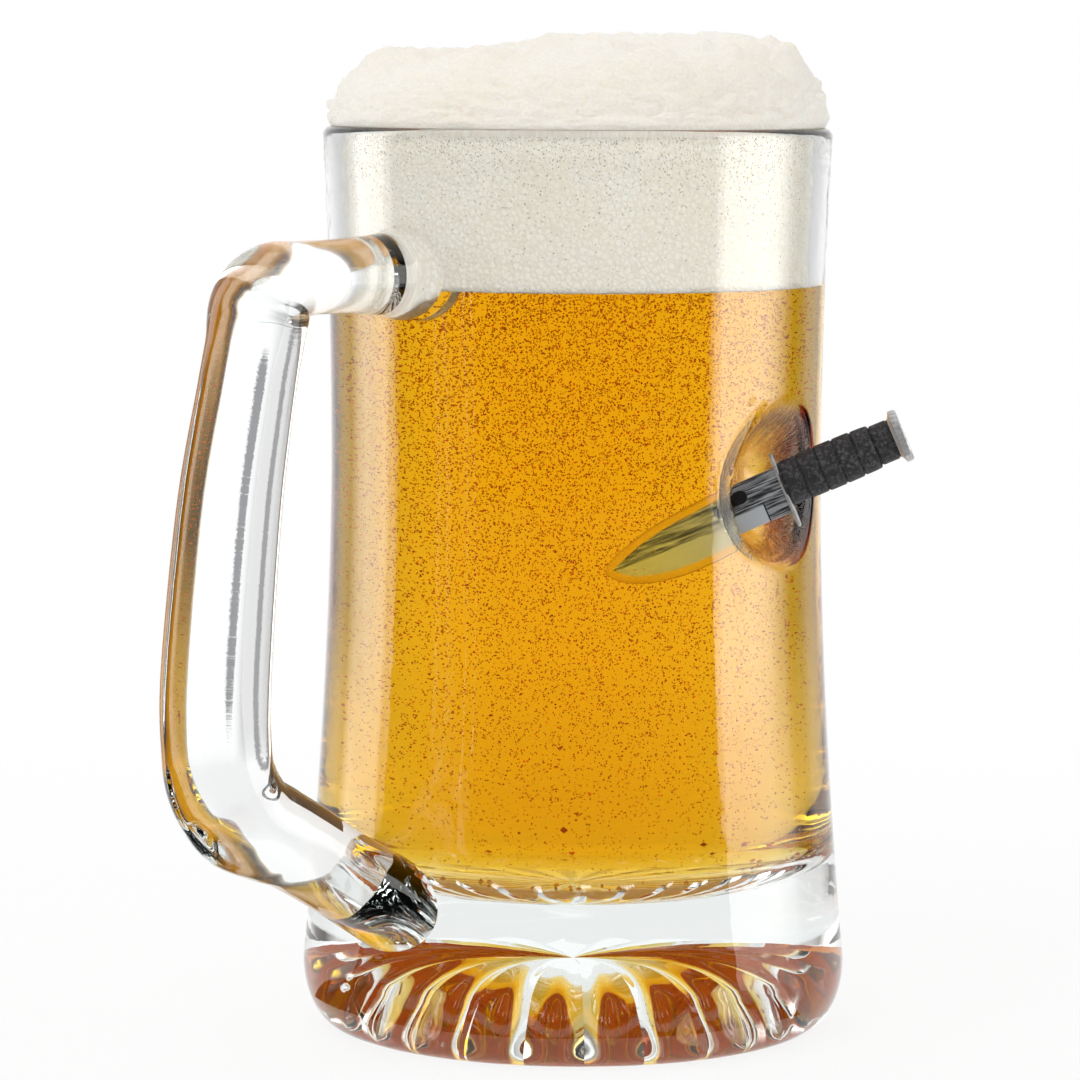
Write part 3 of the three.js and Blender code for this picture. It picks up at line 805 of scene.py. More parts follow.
class BEERMUG_OT_drops(bpy.types.Operator):
    """Bead the outside of the glass under the rim with fine drops"""

    bl_idname = "beermug.drops"
    bl_label = "Drops"

    def execute(self, context):
        scene = context.scene
        glass, drink = scene.beermug_glass, scene.beermug_drink
        rng = random.Random(29)
        places, sizes, frames = [], [], []
        for _ in range(drink.drop_count):
            theta = rng.uniform(0, 2 * math.pi)
            down = rng.expovariate(1 / (7 * MILLIMETRE)) + 1.2 * MILLIMETRE
            z = max(RIM_HEIGHT - down, BEER_HEIGHT - 4 * MILLIMETRE)
            size = rng.uniform(0.05, 0.15) * MILLIMETRE
            outward = level(theta)
            across = np.cross([0.0, 0.0, 1.0], outward)
            flatten = 0.4
            frames.append(np.array([outward * flatten, across, [0.0, 0.0, rng.uniform(0.9, 1.3)]]))
            places.append(outward * float(wall_radius(glass, z)) + np.array([0.0, 0.0, z]) + AXIS)
            sizes.append(size)
        piece = scatter_mesh("rim_drops", places, sizes, frames)
        settle(piece, water_material())
        return {"FINISHED"}


# The knife


def oval_loft(glass, knife, name, stations, columns=64, centre_up=0.0):
    """Ovals along the grip's line: each station is (along, half width, half depth)."""
    turn = np.linspace(0, 2 * math.pi, columns, endpoint=False)
    rings = []
    for along, half_width, half_depth in stations:
        across, up = half_width * np.cos(turn), centre_up + half_depth * np.sin(turn)
        rings.append(np.stack([np.full_like(turn, along), across, up], axis=-1))
    piece = loft(name, knife_points(glass, knife, rings))
    return piece


def mark_knife(piece, glass, knife):
    """Stores each point's place along the knife, for the grain of its finish."""
    outward, across, rise = frame_at(knife.bearing, knife.tilt)
    place = guard_place(glass, knife) + AXIS
    points = np.empty(len(piece.data.vertices) * 3)
    piece.data.vertices.foreach_get("co", points)
    offset = points.reshape(-1, 3) - place
    local = np.stack([offset @ outward, offset @ across, offset @ rise], axis=-1)
    attribute = piece.data.attributes.new("knife_place", "FLOAT_VECTOR", "POINT")
    attribute.data.foreach_set("vector", local.ravel())


GRIND_LINE = -1.9 * MILLIMETRE


class BEERMUG_OT_blade(bpy.types.Operator):
    """Build the clipped steel blade with its groove and ground edge"""

    bl_idname = "beermug.blade"
    bl_label = "Blade"

    def execute(self, context):
        glass, knife = context.scene.beermug_glass, context.scene.beermug_knife
        start = knife.guard_thickness / 2
        half = knife.blade_thickness / 2
        chamfer = 0.12 * MILLIMETRE
        keen = 0.05 * MILLIMETRE
        rings = []
        for share in np.linspace(0, 1, 90):
            back, edge = eased_blade_lines(share)
            thin = half * (1 - 0.55 * share**2)
            grind = min(GRIND_LINE + 0.4 * MILLIMETRE * share, back - (back - edge) * 0.35)
            step = min(chamfer, (back - edge) / 8)
            section = [
                (thin - step, back), (thin, back - step), (thin, grind), (keen, edge),
                (-keen, edge), (-thin, grind), (-thin, back - step), (-thin + step, back),
            ]
            along = -(start + knife.blade_length * share)
            rings.append([(along, y, z) for y, z in section])
        piece = loft("knife_blade", knife_points(glass, knife, rings)[:, ::-1], smooth=False)
        for side in (-1, 1):
            cut(piece, self.groove(glass, knife, side), "DIFFERENCE")
        piece.data.shade_smooth()
        sharpen(piece, 18)
        mark_knife(piece, glass, knife)
        settle(piece, blade_material(knife), ["blade"])
        return {"FINISHED"}

    def groove(self, glass, knife, side):
        radius = knife.fuller_width / 2
        first = -(knife.fuller_start + radius)
        second = first - (knife.fuller_length - knife.fuller_width)
        turn = np.linspace(-math.pi / 2, math.pi / 2, 17)
        outline = [(first + radius * math.cos(a), knife.fuller_rise + radius * math.sin(a)) for a in turn]
        outline += [(second - radius * math.cos(a), knife.fuller_rise - radius * math.sin(a)) for a in turn]
        half = knife.blade_thickness / 2
        depths = (half - 0.3 * MILLIMETRE, half + 1.0 * MILLIMETRE)
        rings = [[(x, side * depth, z) for x, z in outline] for depth in depths]
        if side > 0:
            rings = rings[::-1]
        return loft("groove", knife_points(glass, knife, rings), smooth=False)


class BEERMUG_OT_fittings(bpy.types.Operator):
    """Build the guard and the end cap"""

    bl_idname = "beermug.fittings"
    bl_label = "Guard and Pommel"

    def execute(self, context):
        glass, knife = context.scene.beermug_glass, context.scene.beermug_knife
        finish = steel_material("Guard steel", knife.fitting, knife.sheen, 0.26)
        half = knife.guard_thickness / 2
        depth = (knife.guard_top + knife.guard_bottom) / 2
        stations = []
        for share in np.linspace(-1, 1, 15):
            ease = half * (1 - math.sqrt(max(1 - abs(share) ** 3, 0.0)))
            stations.append((half * share, knife.guard_width / 2 - ease, depth - ease))
        stations.insert(0, (-half, knife.guard_width / 8, depth / 4))
        stations.append((half, knife.guard_width / 8, depth / 4))
        lift = (knife.guard_top - knife.guard_bottom) / 2
        guard = oval_loft(glass, knife, "knife_guard", stations, 96, lift)
        sharpen(guard, 40)
        mark_knife(guard, glass, knife)
        settle(guard, finish, ["guard"])

        end = half + knife.ring_count * knife.ring_pitch + 0.3 * MILLIMETRE
        width, height = knife.pommel_width / 2, knife.pommel_depth / 2
        neck = RING_SHARES[-1] * knife.grip_depth / knife.pommel_depth
        profile = [(0.0, neck * 0.98), (0.15, neck), (0.55, neck + (1 - neck) * 0.45), (0.9, 0.985), (1.0, 1.0)]
        stations = [(end + knife.pommel_neck * a, width * s, height * s) for a, s in profile]
        rim = knife.pommel_rim
        for share, out in ((0.2, 1.0), (0.5, 1.0), (0.75, 0.99), (0.9, 0.97), (1.0, 0.93), (1.0, 0.6), (0.98, 0.2)):
            stations.append((end + knife.pommel_neck + rim * share, width * out, height * out))
        pommel = oval_loft(glass, knife, "knife_pommel", stations, 96)
        sharpen(pommel, 38)
        mark_knife(pommel, glass, knife)
        settle(pommel, finish, ["pommel"])
        return {"FINISHED"}


RING_SHARES = (0.965, 0.985, 1.0, 0.995, 0.97, 0.87)


class BEERMUG_OT_grip(bpy.types.Operator):
    """Stack the grip from its pebbled black washers"""

    bl_idname = "beermug.grip"
    bl_label = "Grip Rings"

    def execute(self, context):
        glass, knife = context.scene.beermug_glass, context.scene.beermug_knife
        finish = grip_material(knife)
        start = knife.guard_thickness / 2 + 0.3 * MILLIMETRE
        half_width, half_depth = knife.grip_width / 2, knife.grip_depth / 2
        for index in range(knife.ring_count):
            share = RING_SHARES[index % len(RING_SHARES)]
            after = RING_SHARES[(index + 1) % len(RING_SHARES)] if index + 1 < knife.ring_count else share
            low = start + index * knife.ring_pitch - knife.ring_gap / 2
            high = low + knife.ring_pitch - knife.ring_gap
            round_edge = 0.3 * MILLIMETRE
            neck = share * 0.955
            seat = low - knife.ring_gap * (1 if index else 3)
            stations = [(seat, half_width * neck * 0.3, half_depth * neck * 0.3)]
            stations += [(seat, half_width * neck, half_depth * neck), (low, half_width * neck, half_depth * neck)]
            for step in np.linspace(0, 1, 25):
                along = low + (high - low) * step
                edge = min(along - low, high - along)
                ease = round_edge - math.sqrt(max(round_edge**2 - max(round_edge - edge, 0.0) ** 2, 0.0))
                swell = share + (after - share) * step**3 * 0.35
                stations.append((along, half_width * swell - ease, half_depth * swell - ease))
            seat = high if index + 1 < knife.ring_count else high + 3 * knife.ring_gap
            stations += [(high, half_width * neck, half_depth * neck), (seat, half_width * neck, half_depth * neck)]
            stations.append((seat, half_width * neck * 0.3, half_depth * neck * 0.3))
            ring = oval_loft(glass, knife, f"grip_washer_{index + 1}", stations, 88)
            sharpen(ring, 60)
            mark_knife(ring, glass, knife)
            settle(ring, finish, [f"grip_ring_{index + 1}"])
        return {"FINISHED"}


# Finishes


def fresh_material(name):
    material = bpy.data.materials.get(name)
    if material:
        return material, None, None, None
    material = bpy.data.materials.new(name)
    material.use_nodes = True
    nodes, links = material.node_tree.nodes, material.node_tree.links
    return material, nodes, links, nodes["Principled BSDF"]


def group_frame(name, inputs, outputs):
    """An empty shader node group with named sockets."""
    group = bpy.data.node_groups.new(name, "ShaderNodeTree")
    for label, kind, default in inputs:
        socket = group.interface.new_socket(label, in_out="INPUT", socket_type=kind)
        if default is not None:
            socket.default_value = default
    for label, kind in outputs:
        group.interface.new_socket(label, in_out="OUTPUT", socket_type=kind)
    entry = group.nodes.new("NodeGroupInput")
    leave = group.nodes.new("NodeGroupOutput")
    return group, group.nodes, group.links, entry.outputs, leave.inputs


def noise_node(nodes, links, vector, scale, detail=2.0, roughness=0.5):
    node = nodes.new("ShaderNodeTexNoise")
    node.inputs["Scale"].default_value = scale
    node.inputs["Detail"].default_value = detail
    node.inputs["Roughness"].default_value = roughness
    links.new(vector, node.inputs["Vector"])
    return node.outputs["Fac"]


def math_node(nodes, links, operation, first, second, third=None):
    node = nodes.new("ShaderNodeMath")
    node.operation = operation
    for index, value in enumerate((first, second, third)):
        if value is None:
            continue
        if isinstance(value, (int, float)):
            node.inputs[index].default_value = value
        else:
            links.new(value, node.inputs[index])
    return node.outputs["Value"]


def ramp_node(nodes, links, value, low, high, out_low=0.0, out_high=1.0):
    node = nodes.new("ShaderNodeMapRange")
    node.inputs["From Min"].default_value = low
    node.inputs["From Max"].default_value = high
    node.inputs["To Min"].default_value = out_low
    node.inputs["To Max"].default_value = out_high
    links.new(value, node.inputs["Value"])
    return node.outputs["Result"]


def mix_colour(nodes, links, share, first, second):
    node = nodes.new("ShaderNodeMix")
    node.data_type = "RGBA"
    for socket, value in ((node.inputs[6], first), (node.inputs[7], second)):
        if isinstance(value, (tuple, list)) or hasattr(value, "hsv"):
            socket.default_value = (*value[:3], 1.0)
        else:
            links.new(value, socket)
    if isinstance(share, (int, float)):
        node.inputs["Factor"].default_value = share
    else:
        links.new(share, node.inputs["Factor"])
    return node.outputs[2]


def bump_node(nodes, links, height, distance, strength, normal=None):
    node = nodes.new("ShaderNodeBump")
    node.inputs["Distance"].default_value = distance
    if isinstance(strength, (int, float)):
        node.inputs["Strength"].default_value = strength
    else:
        links.new(strength, node.inputs["Strength"])
    links.new(height, node.inputs["Height"])
    if normal is not None:
        links.new(normal, node.inputs["Normal"])
    return node.outputs["Normal"]


def waviness_group():
    """Slow waves and faint smears of a pressed surface: its normal, and a mask of the smears."""
    name = "Pressed waviness"
    if name in bpy.data.node_groups:
        return bpy.data.node_groups[name]
    inputs = [
        ("Vector", "NodeSocketVector", None),
        ("Wave size", "NodeSocketFloat", 0.004),
        ("Wave height", "NodeSocketFloat", 0.00003),
    ]
    outputs = [("Normal", "NodeSocketVector"), ("Smears", "NodeSocketFloat")]
    group, nodes, links, entry, leave = group_frame(name, inputs, outputs)
    scaled = nodes.new("ShaderNodeVectorMath")
    scaled.operation = "DIVIDE"
    sizes = nodes.new("ShaderNodeCombineXYZ")
    for socket in sizes.inputs:
        links.new(entry["Wave size"], socket)
    links.new(entry["Vector"], scaled.inputs[0])
    links.new(sizes.outputs["Vector"], scaled.inputs[1])
    waves = noise_node(nodes, links, scaled.outputs["Vector"], 1.0, 1.5)
    bump = nodes.new("ShaderNodeBump")
    links.new(waves, bump.inputs["Height"])
    links.new(entry["Wave height"], bump.inputs["Distance"])
    links.new(bump.outputs["Normal"], leave["Normal"])
    smears = noise_node(nodes, links, scaled.outputs["Vector"], 0.35, 5.0, 0.6)
    links.new(ramp_node(nodes, links, smears, 0.5, 0.75), leave["Smears"])
    return group


def scratch_group():
    """Fine brushed scratches along the knife: a height and a light and dark mask."""
    name = "Brushed scratches"
    if name in bpy.data.node_groups:
        return bpy.data.node_groups[name]
    inputs = [
        ("Vector", "NodeSocketVector", None),
        ("Length", "NodeSocketFloat", 0.004),
        ("Width", "NodeSocketFloat", 0.00012),
    ]
    outputs = [("Height", "NodeSocketFloat"), ("Mask", "NodeSocketFloat")]
    group, nodes, links, entry, leave = group_frame(name, inputs, outputs)
    sizes = nodes.new("ShaderNodeCombineXYZ")
    links.new(entry["Length"], sizes.inputs["X"])
    links.new(entry["Width"], sizes.inputs["Y"])
    links.new(entry["Width"], sizes.inputs["Z"])
    scaled = nodes.new("ShaderNodeVectorMath")
    scaled.operation = "DIVIDE"
    links.new(entry["Vector"], scaled.inputs[0])
    links.new(sizes.outputs["Vector"], scaled.inputs[1])
    fine = noise_node(nodes, links, scaled.outputs["Vector"], 1.0, 3.0, 0.65)
    broad = noise_node(nodes, links, scaled.outputs["Vector"], 0.37, 2.0, 0.5)
    both = math_node(nodes, links, "MULTIPLY_ADD", broad, 0.6, fine)
    links.new(both, leave["Height"])
    links.new(ramp_node(nodes, links, both, 0.7, 0.9), leave["Mask"])
    return group


def ripple_group():
    """Creases that run out from an axis: how far a point lies from it, and the creases' height and streaks."""
    name = "Radial creases"
    if name in bpy.data.node_groups:
        return bpy.data.node_groups[name]
    inputs = [
        ("Vector", "NodeSocketVector", None),
        ("Place", "NodeSocketVector", None),
        ("Outward", "NodeSocketVector", None),
        ("Across", "NodeSocketVector", None),
        ("Crease length", "NodeSocketFloat", 0.003),
    ]
    outputs = [
        ("Distance", "NodeSocketFloat"), ("Side", "NodeSocketFloat"), ("Rise", "NodeSocketFloat"),
        ("Streaks", "NodeSocketFloat"), ("Crumple", "NodeSocketFloat"),
    ]
    group, nodes, links, entry, leave = group_frame(name, inputs, outputs)

    def vector_math(operation, first, second=None):
        node = nodes.new("ShaderNodeVectorMath")
        node.operation = operation
        for index, value in enumerate((first, second)):
            if isinstance(value, tuple):
                node.inputs[index].default_value = value
            elif value is not None:
                links.new(value, node.inputs[index])
        return node

    def scaled(vector, amount):
        node = vector_math("SCALE", vector)
        if isinstance(amount, float):
            node.inputs["Scale"].default_value = amount
        else:
            links.new(amount, node.inputs["Scale"])
        return node.outputs["Vector"]

    offset = vector_math("SUBTRACT", entry["Vector"], entry["Place"]).outputs["Vector"]
    along = vector_math("DOT_PRODUCT", offset, entry["Outward"]).outputs["Value"]
    aside = vector_math("SUBTRACT", offset, scaled(entry["Outward"], along)).outputs["Vector"]
    distance = vector_math("LENGTH", aside).outputs["Value"]
    direction = vector_math("NORMALIZE", aside).outputs["Vector"]
    links.new(distance, leave["Distance"])
    links.new(vector_math("DOT_PRODUCT", direction, entry["Across"]).outputs["Value"], leave["Side"])
    parts = nodes.new("ShaderNodeSeparateXYZ")
    links.new(direction, parts.inputs["Vector"])
    links.new(parts.outputs["Z"], leave["Rise"])
    run = math_node(nodes, links, "DIVIDE", distance, entry["Crease length"])
    spread = vector_math("ADD", scaled(direction, 30.0), scaled(entry["Outward"], run)).outputs["Vector"]
    links.new(noise_node(nodes, links, spread, 1.0, 4.0, 0.65), leave["Streaks"])
    tangled = vector_math("ADD", scaled(direction, 16.0), scaled(offset, 900.0)).outputs["Vector"]
    links.new(noise_node(nodes, links, tangled, 1.0, 3.0, 0.6), leave["Crumple"])
    return group


def placed_group(nodes, group, **values):
    node = nodes.new("ShaderNodeGroup")
    node.node_tree = group
    for label, value in values.items():
        node.inputs[label.replace("_", " ")].default_value = value
    return node


def object_vector(nodes):
    return nodes.new("ShaderNodeTexCoord").outputs["Object"]


def knife_vector(nodes):
    node = nodes.new("ShaderNodeAttribute")
    node.attribute_name = "knife_place"
    return node.outputs["Vector"]


def absorb(nodes, links, colour_through, density):
    volume = nodes.new("ShaderNodeVolumeAbsorption")
    volume.inputs["Color"].default_value = (*colour_through, 1.0)
    volume.inputs["Density"].default_value = density
    links.new(volume.outputs["Volume"], nodes["Material Output"].inputs["Volume"])


def glass_material(glass, knife, name):
    """Clear pressed glass, creased round the recess, with the beer's amber and the creases' shade painted into the
    recess, and painted shade where it is looked through edgeways and along the seam.
    """
    material, nodes, links, shader = fresh_material(name)
    if nodes is None:
        return material
    shader.inputs["Transmission Weight"].default_value = 1.0
    shader.inputs["IOR"].default_value = 1.5
    waves = placed_group(nodes, waviness_group(), Wave_size=0.006, Wave_height=0.00003)
    links.new(object_vector(nodes), waves.inputs["Vector"])
    outward, across, _ = frame_at(glass.recess_bearing, glass.recess_tilt)
    place = recess_place(glass, knife) + AXIS
    creases = placed_group(nodes, ripple_group(), Place=place, Outward=outward, Across=across)
    links.new(object_vector(nodes), creases.inputs["Vector"])
    distance, side, rise = (creases.outputs[label] for label in ("Distance", "Side", "Rise"))

    def product(*values):
        result = values[0]
        for value in values[1:]:
            result = math_node(nodes, links, "MULTIPLY", result, value)
        return result

    def stored(name):
        node = nodes.new("ShaderNodeAttribute")
        node.attribute_name = name
        return node.outputs["Fac"]

    dish = ramp_node(nodes, links, stored("dish"), 0.0003, 0.0009)
    bulge = ramp_node(nodes, links, stored("bulge"), 0.0001, 0.0004)
    brim = product(bulge, ramp_node(nodes, links, stored("bulge"), 0.0034, 0.0018))
    ring = product(dish, ramp_node(nodes, links, distance, 0.0085, 0.0105))
    # The creases are real bumps; the masks below paint shade into them: brown under, dark over and at the brim, red
    # on the far side
    streaks = ramp_node(nodes, links, creases.outputs["Streaks"], 0.44, 0.54)
    crumple = ramp_node(nodes, links, creases.outputs["Crumple"], 0.42, 0.56)
    upper = ramp_node(nodes, links, rise, 0.4, 0.7)
    over = product(ring, streaks, upper)
    spike_painted_shade = product(brim, ramp_node(nodes, links, creases.outputs["Streaks"], 0.5, 0.56))
    under = product(ring, ramp_node(nodes, links, rise, -0.15, -0.5))
    far = product(ring, ramp_node(nodes, links, side, 0.3, 0.6), ramp_node(nodes, links, rise, -0.05, 0.15))
    far = product(far, ramp_node(nodes, links, distance, 0.015, 0.0135))
    # Painted colour in the recess: amber for the beer seen through it, then brown, dark and red for the shade and
    # bent light in its creases
    tint = mix_colour(nodes, links, product(dish, 0.6), glass.clear, glass.recess_painted_beer_amber)
    tint = mix_colour(nodes, links, product(under, crumple, 0.85), tint, glass.recess_brown_painted_shade)
    tint = mix_colour(nodes, links, product(over, 0.9), tint, glass.recess_dark_painted_shade)
    tint = mix_colour(nodes, links, product(far, crumple, 0.9), tint, glass.recess_red_painted_shade)
    tint = mix_colour(nodes, links, product(spike_painted_shade, 0.85), tint, glass.recess_dark_painted_shade)
    # Painted shade: the glass is darkened where it is met at a glance
    graze_painted_shade = nodes.new("ShaderNodeLayerWeight")
    graze_painted_shade = ramp_node(nodes, links, graze_painted_shade.outputs["Facing"], 0.77, 0.97, 0.0, 0.7)
    tint = mix_colour(nodes, links, graze_painted_shade, tint, glass.edge_painted_shade)
    # Painted shade along the mould's seam: a dark tint freckled by fine specks; the same mask also roughens the
    # seam
    specks = noise_node(nodes, links, object_vector(nodes), 2600.0, 3.0, 0.7)
    seam = math_node(nodes, links, "MULTIPLY_ADD", specks, 0.9, stored("seam"))
    seam = ramp_node(nodes, links, seam, 0.8, 1.05)
    tint = mix_colour(nodes, links, seam, tint, glass.seam_painted_shade)
    links.new(tint, shader.inputs["Base Color"])
    pressed = math_node(nodes, links, "MAXIMUM", ring, product(brim, 0.5))
    height = math_node(nodes, links, "ADD", creases.outputs["Streaks"], creases.outputs["Crumple"])
    height = product(height, pressed)
    bump = bump_node(nodes, links, height, 0.0003, 0.6, waves.outputs["Normal"])
    links.new(bump, shader.inputs["Normal"])
    rough = ramp_node(nodes, links, waves.outputs["Smears"], 0.0, 1.0, 0.0, 0.03)
    links.new(math_node(nodes, links, "MULTIPLY_ADD", seam, 0.3, rough), shader.inputs["Roughness"])
    absorb(nodes, links, glass.depth_tint, 3.5)
    return material


def sleeve_material(glass):
    """Glass that stands in beer, so it bends light by the ratio of the two."""
    material, nodes, links, shader = fresh_material("Glass in beer")
    if nodes is None:
        return material
    shader.inputs["Base Color"].default_value = (*glass.clear, 1.0)
    shader.inputs["Transmission Weight"].default_value = 1.0
    shader.inputs["IOR"].default_value = 1.128
    waves = placed_group(nodes, waviness_group(), Wave_size=0.0012, Wave_height=0.00004)
    links.new(object_vector(nodes), waves.inputs["Vector"])
    links.new(waves.outputs["Normal"], shader.inputs["Normal"])
    return material


def water_material():
    material, nodes, links, shader = fresh_material("Water drops")
    if nodes is None:
        return material
    shader.inputs["Base Color"].default_value = (0.97, 0.975, 0.97, 1.0)
    shader.inputs["Transmission Weight"].default_value = 1.0
    shader.inputs["IOR"].default_value = 1.33
    fog = noise_node(nodes, links, object_vector(nodes), 900.0)
    links.new(ramp_node(nodes, links, fog, 0.3, 0.7, 0.0, 0.06), shader.inputs["Roughness"])
    return material


def beer_material(drink):
    material, nodes, links, shader = fresh_material("Beer")
    if nodes is None:
        return material
    shader.inputs["Base Color"].default_value = (1.0, 1.0, 1.0, 1.0)
    shader.inputs["Transmission Weight"].default_value = 1.0
    shader.inputs["IOR"].default_value = 1.33
    haze = noise_node(nodes, links, object_vector(nodes), 260.0, 3.0)
    links.new(ramp_node(nodes, links, haze, 0.35, 0.8, 0.0, 0.02), shader.inputs["Roughness"])
    absorb(nodes, links, drink.beer_colour, 70.0)
    return material


def bubble_material(drink):
    material, nodes, links, shader = fresh_material("Bubble painted shade and glow")
    if nodes is None:
        return material
    # The whole bead is painted: dark amber for the shade at a bubble's edge, paler at random, and a faint glow of
    # its own in place of the light through it
    patches = noise_node(nodes, links, object_vector(nodes), 240.0, 1.0)
    light = tuple(min(part * 2.2, 1.0) for part in drink.bubble_painted_shade)
    tint = mix_colour(nodes, links, ramp_node(nodes, links, patches, 0.35, 0.65), drink.bubble_painted_shade, light)
    links.new(tint, shader.inputs["Base Color"])
    links.new(tint, shader.inputs["Emission Color"])
    shader.inputs["Emission Strength"].default_value = 0.15
    shader.inputs["Roughness"].default_value = 0.5
    return material


def froth_material(drink):
    material, nodes, links, shader = fresh_material("Froth")
    if nodes is None:
        return material
    vector = object_vector(nodes)
    cells = nodes.new("ShaderNodeTexVoronoi")
    cells.inputs["Scale"].default_value = 1300.0
    links.new(vector, cells.inputs["Vector"])
    large = nodes.new("ShaderNodeTexVoronoi")
    large.inputs["Scale"].default_value = 520.0
    links.new(vector, large.inputs["Vector"])
    soft = noise_node(nodes, links, vector, 180.0, 4.0, 0.6)
    tone = noise_node(nodes, links, vector, 45.0, 3.0, 0.55)
    height = math_node(nodes, links, "MULTIPLY_ADD", large.outputs["Distance"], 0.6, cells.outputs["Distance"])
    height = math_node(nodes, links, "MULTIPLY_ADD", soft, 1.2, height)
    normal = bump_node(nodes, links, height, 0.0003, 0.7)
    links.new(normal, shader.inputs["Normal"])
    # Painted shade: the froth is darker in the pits between its cells, and also darker at random by the tone noise
    shade = tuple(part * factor for part, factor in zip(drink.froth_colour, (0.94, 0.91, 0.85)))
    painted_pit_shade = ramp_node(nodes, links, cells.outputs["Distance"], 0.15, 0.6)
    mask = math_node(nodes, links, "MULTIPLY_ADD", painted_pit_shade, 0.4, ramp_node(nodes, links, tone, 0.38, 0.72, 0.0, 0.6))
    tint = mix_colour(nodes, links, mask, drink.froth_colour, shade)
    # Thin darker films where the bubbles meet, plain to see only where the froth is pressed against the glass
    films = nodes.new("ShaderNodeTexVoronoi")
    films.feature = "DISTANCE_TO_EDGE"
    films.inputs["Scale"].default_value = 950.0
    links.new(vector, films.inputs["Vector"])
    film = ramp_node(nodes, links, films.outputs["Distance"], 0.2, 0.03)
    parts = nodes.new("ShaderNodeSeparateXYZ")
    links.new(vector, parts.inputs["Vector"])
    pressed = ramp_node(nodes, links, parts.outputs["Z"], RIM_HEIGHT, RIM_HEIGHT - 2 * MILLIMETRE, 0.06, 0.62)
    film = math_node(nodes, links, "MULTIPLY", film, pressed)
    dim = tuple(part * factor for part, factor in zip(drink.froth_colour, (0.83, 0.79, 0.7)))
    links.new(mix_colour(nodes, links, film, tint, dim), shader.inputs["Base Color"])
    links.new(ramp_node(nodes, links, tone, 0.3, 0.7, 0.55, 0.8), shader.inputs["Roughness"])
    shader.inputs["Subsurface Weight"].default_value = 0.35
    shader.inputs["Subsurface Radius"].default_value = (1.0, 0.85, 0.6)
    shader.inputs["Subsurface Scale"].default_value = 0.002
    return material


def steel_material(name, tint, sheen, roughness):
    material, nodes, links, shader = fresh_material(name)
    if nodes is None:
        return material
    scratches = placed_group(nodes, scratch_group(), Length=0.0012, Width=0.00018)
    links.new(knife_vector(nodes), scratches.inputs["Vector"])
    dark = tuple(part * 0.55 for part in tint)
    links.new(mix_colour(nodes, links, scratches.outputs["Mask"], dark, tint), shader.inputs["Base Color"])
    rough = ramp_node(nodes, links, scratches.outputs["Mask"], 0.0, 1.0, roughness + 0.15, roughness)
    links.new(rough, shader.inputs["Roughness"])
    links.new(bump_node(nodes, links, scratches.outputs["Height"], 0.00003, 0.35), shader.inputs["Normal"])
    shader.inputs["Metallic"].default_value = sheen
    return material


